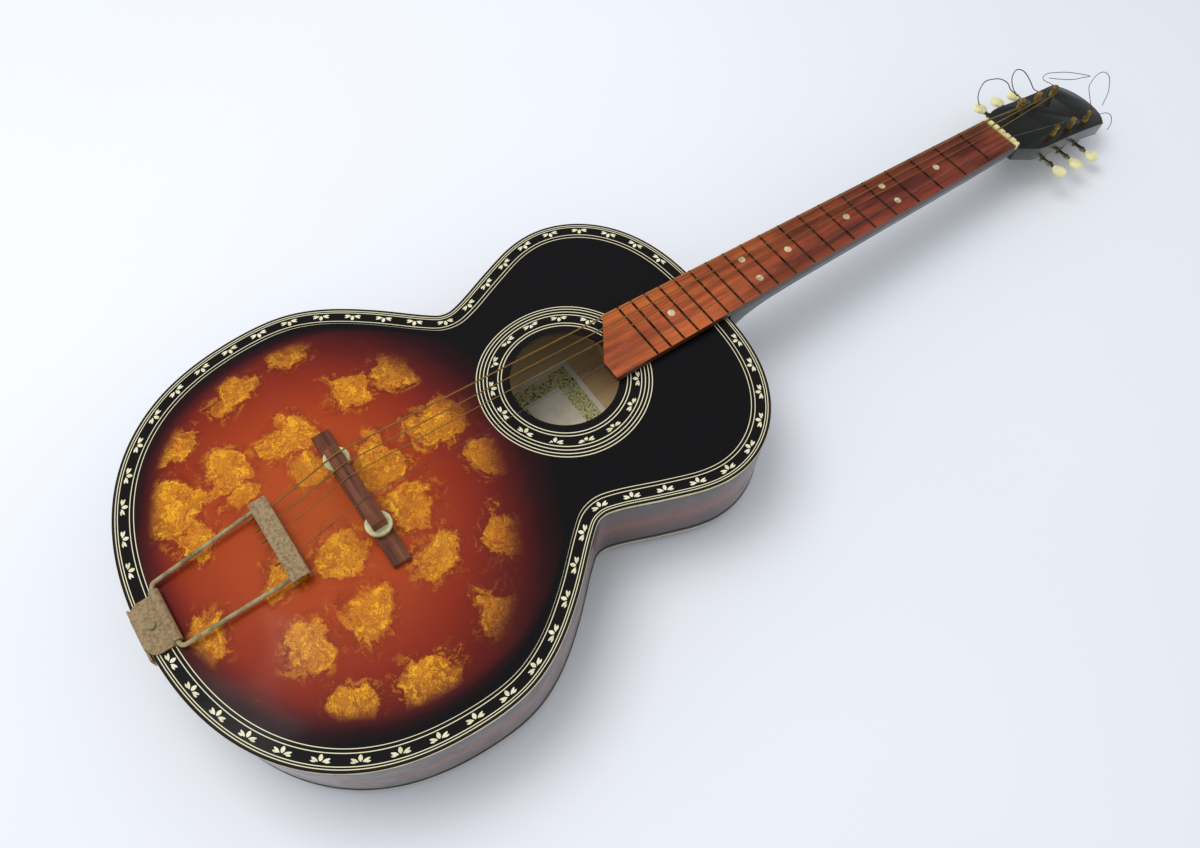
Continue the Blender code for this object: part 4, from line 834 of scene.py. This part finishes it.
def makeBack():
    """The arched back; its inner face is bare wood."""
    border = insetLoop(borderWidth)
    centre = np.array([0.0, holeY])
    crown = 0.012
    reach = np.hypot(border[:, 0], border[:, 1] - holeY)
    loops = []
    for share in np.linspace(0.0, 1.0, 30) ** 0.8:
        radius = crown + (reach - crown) * share
        loops.append(centre + (border - centre) * (radius / reach)[:, None])
    loops += [insetLoop(0.008), insetLoop(plateInset)]
    low = [rimZ - sideDepth - backArch * swell(spots, backSwell) for spots in loops]
    outside = [ringOf(spots, z) for spots, z in zip(loops, low)]
    inside = [ringOf(s, z + backThickness) for s, z in zip(loops[::-1], low[::-1])]
    mesh = loft("back", outside + inside)
    mesh.materials.append(looks["back"])
    mesh.materials.append(looks["innerWood"])
    for face in mesh.polygons:
        face.material_index = 1 if face.normal.z > 0.5 else 0
    link("archedBack", mesh, None, "guitar", "back_plate", smooth=50.0)


def makeBindings():
    """Cream strips with their outer edges rounded over."""
    soft = 0.0006
    for name, high, word in (("topBinding", rimZ, "top_binding"),
                             ("backBinding", rimZ - sideDepth + bindingHeight, "back_binding")):
        low = high - bindingHeight
        section = [(bindingWidth, high), (soft, high), (0.3 * soft, high - 0.3 * soft),
                   (0.0, high - soft), (0.0, low + soft), (0.3 * soft, low + 0.3 * soft),
                   (soft, low), (bindingWidth, low)]
        rings = [ringOf(insetLoop(inset), np.full(ringCount, z)) for inset, z in section]
        link(name, loft(name, rings, closed=True), looks["binding"], "guitar", word, smooth=50.0)


def makeRibs():
    high, low = rimZ - bindingHeight - gap, rimZ - sideDepth + bindingHeight + gap
    outer, inner = insetLoop(ribInset), insetLoop(ribInset + ribThickness)
    for side, word in ((-1, "bass"), (1, "treble")):
        picked = [i for i in range(ringCount) if side * outer[i][0] > (
            ribNeckEnd if outer[i][1] > holeY else 0.001)]
        picked.sort(key=lambda i: math.atan2(side * outer[i][0], outer[i][1] - holeY))
        tailEnd = abs(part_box("rib_treble")[0][0])
        spots = [(outer[i], inner[i]) for i in picked]
        for last, reach, slot in ((picked[0], ribNeckEnd, 0), (picked[-1], tailEnd, len(spots) + 1)):
            beside = min((last + 1) % ringCount, (last - 1) % ringCount, key=lambda i: side * outer[i][0])
            share = (reach - side * outer[beside][0]) / (side * (outer[last][0] - outer[beside][0]))
            spots.insert(slot, (outer[beside] + (outer[last] - outer[beside]) * share,
                                inner[beside] + (inner[last] - inner[beside]) * share))
        levels = np.linspace(low, high, 5)
        rings = []
        for far, near in spots:
            ring = [(far[0], far[1], z) for z in levels]
            ring += [(near[0], near[1], z) for z in levels[::-1]]
            rings.append(ring)
        link("rib" + word.capitalize(), loft("rib", rings), looks["rib"], "guitar",
             "rib_" + word, smooth=50.0)


def sprigMesh():
    """A generic leaf sprig: one leaf with two pairs of side leaves."""
    parts = []

    def leaf(x, y, turn, long, wide):
        points = []
        for k in range(12):
            a = 2 * math.pi * k / 12
            along = 0.5 * long * (1 - math.cos(a))
            across = 0.5 * wide * math.sin(a) * (0.35 + 0.65 * abs(math.sin(a)))
            points.append((x + across * math.cos(turn) + along * math.sin(turn),
                           y - across * math.sin(turn) + along * math.cos(turn)))
        parts.append(points)

    leaf(0.0, -0.0012, 0.0, 0.0034, 0.0017)
    leaf(-0.0008, -0.0014, -0.95, 0.0034, 0.0013)
    leaf(0.0008, -0.0014, 0.95, 0.0034, 0.0013)
    leaf(-0.0016, -0.0015, -1.40, 0.0022, 0.0010)
    leaf(0.0016, -0.0015, 1.40, 0.0022, 0.0010)
    points, faces = [], []
    for part in parts:
        start, count = len(points), len(part)
        points += [(x, y, 0.00012) for x, y in part] + [(x, y, -0.0002) for x, y in part]
        faces.append(tuple(range(start, start + count)))
        faces.append(tuple(range(start + count, start + 2 * count))[::-1])
        for k in range(count):
            n = (k + 1) % count
            faces.append((start + k, start + n, start + count + n, start + count + k))
    points = [(x * 1.7, y * 1.3, z) for x, y, z in points]
    return meshFrom("sprig", points, faces)


def sprigRow(name, spots, turns, heights, look):
    mesh = bpy.data.meshes.new(name)
    mesh.from_pydata([(x, y, z) for (x, y), z in zip(spots, heights)], [], [])
    heading = mesh.attributes.new("heading", "FLOAT", "POINT")
    heading.data.foreach_set("value", np.array(turns, dtype=np.float32))
    piece = bpy.data.objects.new(name, mesh)
    collection.objects.link(piece)
    applyTree(piece, sprigTree, {"Motif": motif, "Material": look})
    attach(piece, "guitar")


motif = bpy.data.objects.new("motif", sprigMesh())
collection.objects.link(motif)


def makeOrnament():
    """Sprigs round the rim and round the rosette, their tips towards the middle."""
    path = insetLoop(0.0084)
    runs = np.linalg.norm(np.roll(path, -1, axis=0) - path, axis=1)
    measured = np.concatenate([[0.0], np.cumsum(runs)])
    count = 56
    spots, turns = [], []
    for k in range(count):
        where = (k + 0.5) * measured[-1] / count
        i = int(np.searchsorted(measured, where) - 1)
        share = (where - measured[i]) / runs[i]
        spot = path[i] * (1 - share) + path[(i + 1) % ringCount] * share
        underBoard = abs(spot[0]) < 0.029 and spot[1] > holeY
        underBracket = abs(spot[0]) < 0.026 and spot[1] < holeY
        if underBoard or underBracket:
            continue
        inward = inwards[i]
        spots.append(spot)
        turns.append(math.atan2(-inward[0], inward[1]))
    sprigRow("rimSprigs", spots, turns, topHeight(np.array(spots)), looks["pearl"])
    spots, turns = [], []
    for k in range(15):
        a = 2 * math.pi * (k + 0.5) / 15
        spot = (0.0545 * math.sin(a), holeY + 0.0545 * math.cos(a))
        if abs(spot[0]) < 0.020 and spot[1] > holeY:
            continue
        spots.append(spot)
        turns.append(math.atan2(math.sin(a), -math.cos(a)))
    sprigRow("rosetteSprigs", spots, turns, topHeight(np.array(spots)), looks["pearl"])


makeTop()
makeBack()
makeBindings()
makeRibs()
makeOrnament()
bpy.data.objects.remove(motif, do_unlink=True)
print("body made")


# --- Neck, board and nut ---
def fretDistance(number):
    return scaleLength * (1.0 - 2.0 ** (-number / 12.0))


nutWidth = 0.0405
widthAtLastFret = 0.0535
boardEnd, boardBassEnd, boardStepX = -0.466, -0.4404, 0.0102


def boardHalf(y):
    return 0.5 * (nutWidth + (widthAtLastFret - nutWidth) / fretDistance(fretCount) * -y)


def boardTop(y):
    return boardTopAtJoin + boardSlope * (y + fretDistance(joinFret))


def world(x, y, z):
    """A point given from the nut's front edge and the rim's level."""
    return (x, y + nutY, z + rimZ)


def makeBoard():
    """Tapered rosewood board with a slanted end over the sound hole."""
    flat = [(-boardHalf(0.0), 0.0), (boardHalf(0.0), 0.0), (boardHalf(boardEnd), boardEnd),
            (boardStepX, boardEnd), (-boardHalf(boardBassEnd), boardBassEnd)]
    rings = []
    for drop, inset in ((boardThickness, 0.0), (0.0006, 0.0), (0.0002, 0.0001), (0.0, 0.0005)):
        ring = []
        for x, y in flat:
            shift = -inset if x > 0 else inset
            y = min(y + inset, -inset)
            ring.append(world(x + shift, y, boardTop(y) - drop))
        rings.append(ring)
    link("board", loft("board", rings), looks["board"], "guitar", "fingerboard")

    routes = []
    for number in range(1, fretCount + 1):
        y = -fretDistance(number)
        half = boardHalf(y) - 0.0004
        left = -half
        if y < boardBassEnd:
            share = (y - boardBassEnd) / (boardEnd - boardBassEnd)
            left = -half + (boardStepX + half) * share + 0.001
        z = boardTop(y) - 0.0002
        routes.append([world(left + (half - left) * k / 6, y, z) for k in range(7)])
    frets = barPiece("frets", routes, 0.0010, looks["fret"], 0.004, 12)
    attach(frets, "guitar")

    dots = [(-0.0007, -0.087), (-0.010, -0.1475), (0.010, -0.1475), (0.0, -0.2007),
            (0.0006, -0.2694), (-0.0115, -0.310), (0.0115, -0.310), (0.0008, -0.3935)]
    points, faces = [], []
    for x, y in dots:
        start, count = len(points), 24
        for rise in (0.00008, -0.0008):
            for k in range(count):
                a = 2 * math.pi * k / count
                px, py = x + 0.0031 * math.cos(a), y + 0.0031 * math.sin(a)
                points.append(world(px, py, boardTop(py) + rise))
        faces.append(tuple(range(start, start + count)))
        faces.append(tuple(range(start + count, start + 2 * count))[::-1])
        for k in range(count):
            n = (k + 1) % count
            faces.append((start + k, start + n, start + count + n, start + count + k))
    link("dots", meshFrom("dots", points, faces), looks["dot"], "guitar")


makeBoard()
refined("neck", looks["neck"], "guitar", 0.0008, 3, 40.0)
refined("nut", looks["nut"], "guitar", 0.00025, 2)
refined("board_support", looks["neck"], "guitar", 0.0004, 2)
print("neck made")


# --- Bridge, tailpiece ---
wheelLook = {"bore": 0.0024, "teeth": 40, "knurl": 0.0003, "soft": 0.0005, "inset": 0.0025,
             "ridge": 0.0017, "hollow": 0.0003}


def middleOf(node):
    low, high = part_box(node)
    return (Vector(low) + Vector(high)) / 2


def makeWheels():
    """Thumbwheels with a knurled rim."""
    look = wheelLook
    sides = look["teeth"] * 4
    for word in ("bass", "treble"):
        lowest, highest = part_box("thumbwheel_" + word)
        x, y = middleOf("thumbwheel_" + word)[:2]
        radius = 0.5 * (highest[0] - lowest[0]) - 0.0001
        low, high, soft = lowest[2], highest[2], look["soft"]
        face, hub = radius - look["inset"], look["bore"] + look["ridge"]
        profile = [(look["bore"], low, 0), (radius - soft, low, 0), (radius, low + soft, 1),
                   (radius, high - soft, 1), (radius - soft, high, 0), (face, high, 0),
                   (face - 0.0006, high - look["hollow"], 0), (hub + 0.0006, high - look["hollow"], 0),
                   (hub, high, 0), (look["bore"], high, 0)]
        rings = []
        for reach, z, knurled in profile:
            ring = []
            for k in range(sides):
                a = 2 * math.pi * k / sides
                r = reach - look["knurl"] * knurled * (1 if k % 4 < 2 else 0)
                ring.append((x + r * math.cos(a), y + r * math.sin(a), z))
            rings.append(ring)
        link("wheel" + word.capitalize(), loft("wheel", rings, closed=True), looks["wheel"],
             "wheel_" + word, "thumbwheel_" + word)


makeWheels()
refined("saddle", looks["bridge"], "saddle", 0.0005, 3)
refined("bridge_base", looks["bridge"], "guitar", 0.0005, 3)
for word in ("bass", "treble"):
    refined("bridge_post_" + word, looks["brass"], "guitar", 0.0002, 2)
refined("tail_bracket", looks["khaki"], "guitar", 0.0004, 2)
refined("bracket_rivet", looks["wire"], "guitar", 0.0004, 2)
refined("tail_screw", looks["wire"], "guitar", 0.0004, 2)
refined("anchor_bar", looks["khaki"], "tailpiece", 0.0004, 2)

bracketHalf, wireBend, barrelY, barrelZ = 0.0205, 0.0045, -0.8145, 0.0046
barHalf, barY, barTop, barWall, barBottom = 0.0340, -0.7290, 0.0190, 0.0014, 0.0118


def makeWire():
    """The trapeze: a wire bent at the bracket's roll and hooked into the bar."""
    corner = Vector((bracketHalf + wireBend + 0.0006, barrelY, barrelZ))
    before = corner - Vector((wireBend, 0.0, 0.0))
    end = Vector((barHalf - 0.0045, barY - 0.0040, 0.5 * (barTop - barWall + barBottom)))
    after = corner + (end - corner).normalized() * wireBend
    half = [before * (1 - t) ** 2 + corner * 2 * t * (1 - t) + after * t ** 2
            for t in (k / 6 for k in range(7))]
    half = [before.lerp(Vector((0.0, barrelY, barrelZ)), 0.5)] + half
    half += [after.lerp(end, 0.33), after.lerp(end, 0.66), end]
    route = [(-p.x, p.y, p.z) for p in half[::-1]] + [(0.0, barrelY, barrelZ)] + [tuple(p) for p in half]
    wire = barPiece("trapezeWire", [[world(*p) for p in route]], 0.0016, looks["wire"], 0.0012, 20)
    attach(wire, "tailpiece")
    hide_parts("trapeze_wire")


makeWire()
print("bridge and tailpiece made")


# --- Strings ---
bridgeX, bridgeY = middleOf("saddle").x, middleOf("saddle").y - nutY
saddleTop, saddleCamber, saddleHalf, saddleDepth, crestInset = 0.0330, 0.0016, 0.0345, 0.0110, 0.0036
nutTop, notchDepth, nutThickness = 0.0019, 0.0011, 0.0048
postX, postRows, postRadius, grooveLow = 0.0215, (0.056, 0.0845, 0.113), 0.0029, 0.0050
headTilt = math.radians(12.0)
stringLook = {
    "string_low_e": (0, 0.00062, "wound"), "string_a": (1, 0.00048, "wound"),
    "string_d": (2, 0.00038, "wound"), "string_b": (4, 0.00022, "plain"),
}


def headPoint(x, along, up):
    """A point in the tilted headstock's own frame."""
    z = boardTop(0.0) - boardThickness - gap
    return world(x, nutThickness + along * math.cos(headTilt) + up * math.sin(headTilt),
                 z - along * math.sin(headTilt) + up * math.cos(headTilt))


def acrossAt(number, spread):
    return spread * (number / 5.0 - 0.5)


def makeString(node, number, radius, look):
    xBar, xSaddle, xNut = (acrossAt(number, s) for s in (0.0500, 0.0520, 0.0340))
    ball = barY - 0.0066 - 0.0004
    fall = saddleCamber * ((xSaddle - bridgeX) / saddleHalf) ** 2
    over = saddleTop - fall + radius + gap
    crestY = bridgeY + 0.5 * saddleDepth - crestInset
    crest = [world(xSaddle, crestY + a, over + u) for a, u in ((-0.003, -0.0008), (0.0, 0.0),
                                                               (0.003, -0.0001))]
    nutHigh = boardTop(0.0) + nutTop - notchDepth + gap + radius
    nutFront = world(xNut, 0.0008, nutHigh)
    nutBack = world(xNut, nutThickness - 0.0004, nutHigh - 0.0001)
    side = -1 if number < 3 else 1
    row = postRows[number if number < 3 else 5 - number]
    post = headPoint(side * (postX - postRadius - radius - gap), row, grooveLow + 0.0005)
    metal = looks[look]

    def straight(a, b, count=6):
        return [tuple(Vector(a).lerp(Vector(b), k / count)) for k in range(count + 1)]

    front = barPiece(node + "Neck", [crest[1:] + straight(crest[2], nutFront, 14)[1:]], radius,
                     metal, 0.004, 8)
    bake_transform(front)
    exit_ = world(xBar, barY + 0.0066, 0.0160 - 0.5 * radius)
    middle = tuple(Vector(exit_).lerp(Vector(crest[0]), 0.5))
    rear = barPiece(node + "Tail", [straight(middle, crest[0], 5) + [crest[1]]], radius, metal,
                    0.003, 8)
    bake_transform(rear)
    hind = barPiece(node + "Hind", [straight(exit_, middle, 5)], radius, metal, 0.003, 8)
    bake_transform(hind)
    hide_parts(node)
    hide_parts(node)
    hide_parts(node)
    head = barPiece(node + "Head", [[nutFront] + straight(nutBack, post, 4)], radius, metal,
                    0.002, 8)
    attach(head, "guitar")

    # The ball in its twisted loop behind the bar, and the part under the bar's roof
    end = world(xBar, ball - 0.0018, 0.0142)
    ring = []
    for k in range(13):
        a = 2 * math.pi * k / 12
        ring.append((end[0] + 0.0006 * math.sin(a), end[1] + 0.0017 * math.cos(a) - 0.0004,
                     end[2] + 0.0015 * math.sin(a)))
    shank = straight(ring[0], exit_, 6)
    hook = barPiece(node + "Ball", [ring, shank], max(radius, 0.0004) * 1.15, metal, 0.0009, 8)
    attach(hook, "tailpiece")

    # Turns round the tuning post
    turns = []
    for k in range(46):
        a = 2 * math.pi * k / 14
        r = 0.0023 + radius + 0.0002
        up = grooveLow + 0.0002 + 0.0018 * k / 45
        turns.append(headPoint(side * postX + r * math.cos(a), row + r * math.sin(a), up))
    coil = barPiece(node + "Coil", [turns], max(radius, 0.0003) * 0.9, metal, 0.0008, 6)
    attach(coil, "post_" + str(number + 1))


for node, (number, radius, look) in stringLook.items():
    makeString(node, number, radius, look)
print("strings made")

# --- Machines ---
machineLooks = {"worm_shaft_": "steel", "string_post_": "brass"}
for number in range(1, 7):
    for stem, look in machineLooks.items():
        body = "tuner_" if stem == "worm_shaft_" else "post_"
        refined(stem + str(number), looks[look], body + str(number), 0.00012, 1, 30.0)
for word in ("bass", "treble"):
    refined("machine_plate_" + word, looks["plate"], "guitar", 0.00025, 2)


def makeButton(number):
    """A smooth oval button from the frame's own form."""
    node = "tuner_button_" + str(number)
    mesh = mergedCopy(node)
    piece = link("button" + str(number), mesh, looks["button"], None, smooth=80.0)
    rounded = piece.modifiers.new("round", "SUBSURF")
    rounded.levels = rounded.render_levels = 2
    applied(piece)
    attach(piece, "tuner_" + str(number))
    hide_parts(node)


for number in range(1, 7):
    makeButton(number)
print("machines made")

# --- Camera ---
focal, centreX, centreY = 936.72, 598.0, 424.0
cameraPlace = Vector((0.31323, -0.35752, 0.69075))
cameraTurn = tuple(math.radians(a) for a in (29.0464, -1.0503, 54.3311))
imageWidth = 1200.0
cameraData = bpy.data.cameras.new("camera")
cameraData.sensor_width = 36.0
cameraData.lens = focal / imageWidth * 36.0
cameraData.shift_x = (600.0 - centreX) / imageWidth
camera = bpy.data.objects.new("camera", cameraData)
camera.location = cameraPlace
camera.rotation_euler = cameraTurn
collection.objects.link(camera)
bpy.context.scene.camera = camera


def sightPoint(px, py, anchor):
    """Where the line of sight through a picture place meets the upright plane at a point."""
    turn = camera.rotation_euler.to_matrix()
    ray = turn @ Vector(((px - centreX) / focal, -(py - centreY) / focal, -1.0))
    facing = Vector((ray.x, ray.y, 0.0)).normalized()
    share = (Vector(anchor) - cameraPlace).dot(facing) / ray.dot(facing)
    return cameraPlace + ray * share


# Loose string ends: (tuner, thickness, picture places of the curl)
curls = [
    (1, 0.00045, [(1011, 90), (1008, 83.6), (1002, 79.5), (994.6, 79), (985.4, 81.5), (980.3, 88.7),
                  (978, 97), (979.7, 106), (983, 112)]),
    (2, 0.00045, [(1033.6, 88.7), (1029.5, 79.5), (1024.4, 71.8), (1019, 69.4), (1015, 71.3),
                  (1012, 78.5), (1013, 87.7), (1017, 96)]),
    (3, 0.00030, [(1043.3, 79.5), (1047, 73.8), (1060, 72.3), (1072.6, 72.8), (1090, 76),
                  (1083, 77.5), (1072.6, 79.5), (1060, 79.2), (1049, 78.0)]),
    (4, 0.00030, [(1089, 90), (1091, 82.6), (1097, 75.0), (1103.3, 72.0), (1108.5, 75), (1109.5, 82),
                  (1108, 93), (1102.3, 105)]),
    (5, 0.00030, [(1100, 114), (1107, 113), (1111, 116), (1111, 123), (1107, 130)]),
]


def makeCurls():
    lowest, highest = Vector(cadBox[0]), Vector(cadBox[1])
    for tuner, radius, places in curls:
        side = -1 if tuner <= 3 else 1
        row = postRows[tuner - 1 if tuner <= 3 else 6 - tuner]
        anchor = headPoint(side * postX, row, 0.0078)
        start = Vector(headPoint(side * (postX + 0.0026), row, 0.0068))
        route = [start, start + Vector((0.0, 0.0004, 0.003))]
        for px, py in places:
            spot = sightPoint(px, py, anchor)
            for axis in range(3):
                spot[axis] = min(max(spot[axis], lowest[axis] + 0.002), highest[axis] - 0.002)
            floorUnder = headPoint(0.0, (spot.y - nutY - nutThickness) / math.cos(headTilt), 0.0)[2]
            if abs(spot.x) < 0.034:
                spot.z = max(spot.z, floorUnder + 0.003)
            route.append(spot)
        curl = barPiece("curl" + str(tuner), [route], radius, looks["curl"], 0.0012, 8)
        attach(curl, "post_" + str(tuner))


makeCurls()
print("curls made")

# --- CAD nodes that stay as they are ---
kept = {"label": "label"}
for node, item in nodes.items():
    if item.hide_render:
        continue
    look = looks[kept.get(node, "innerWood")]
    item.data.materials.clear()
    item.data.materials.append(look)
print("kept nodes painted")


# --- Floor, light and world ---
def makeStage():
    points = [(-6, -6, -0.0005), (6, -6, -0.0005), (6, 6, -0.0005), (-6, 6, -0.0005)]
    mesh = bpy.data.meshes.new("floor")
    mesh.from_pydata(points, [], [(0, 1, 2, 3)])
    floor = bpy.data.objects.new("floor", mesh)
    material, tree, shader, spot = startMaterial("floorPaint", Roughness=0.75)
    cloud = place(tree, "ShaderNodeTexNoise", {"Vector": spot, "Scale": 2.0, "Detail": 2.0})
    feed(tree, shader, Base_Color=mixColour(tree, cloud.outputs[0], tint(230, 233, 240),
                                            tint(238, 240, 245)))
    mesh.materials.append(material)
    collection.objects.link(floor)


lightLook = {"place": (-0.55, -0.55, 1.75), "aim": (0.0, -0.1, 0.0), "size": 1.1, "power": 17.0,
             "worldColour": (0.95, 0.97, 1.0, 1.0), "diffuse": 0.74, "glossy": 0.15,
             "sheenPlace": (-0.46, -0.84, 1.75), "sheenSize": 0.30, "sheenPower": 0.45}


def makeLight():
    look = lightLook
    for name, stem in (("softbox", ""), ("sheen", "sheen")):
        data = bpy.data.lights.new(name, "AREA")
        data.size = look[stem + "Size" if stem else "size"]
        data.energy = look[stem + "Power" if stem else "power"]
        lamp = bpy.data.objects.new(name, data)
        lamp.location = look[stem + "Place" if stem else "place"]
        aim = Vector(look["aim"]) - lamp.location
        lamp.rotation_euler = aim.to_track_quat("-Z", "Y").to_euler()
        lamp.visible_glossy = bool(stem)
        collection.objects.link(lamp)
    world_ = bpy.data.worlds.new("studio")
    bpy.context.scene.world = world_
    world_.use_nodes = True
    tree = world_.node_tree
    back = tree.nodes["Background"]
    back.inputs["Color"].default_value = look["worldColour"]
    glossy = place(tree, "ShaderNodeLightPath").outputs["Is Glossy Ray"]
    drop = calc(tree, "MULTIPLY", glossy, look["glossy"] - look["diffuse"])
    tree.links.new(calc(tree, "ADD", drop, look["diffuse"]), back.inputs["Strength"])


makeStage()
makeLight()
bpy.context.scene.view_settings.view_transform = "Standard"
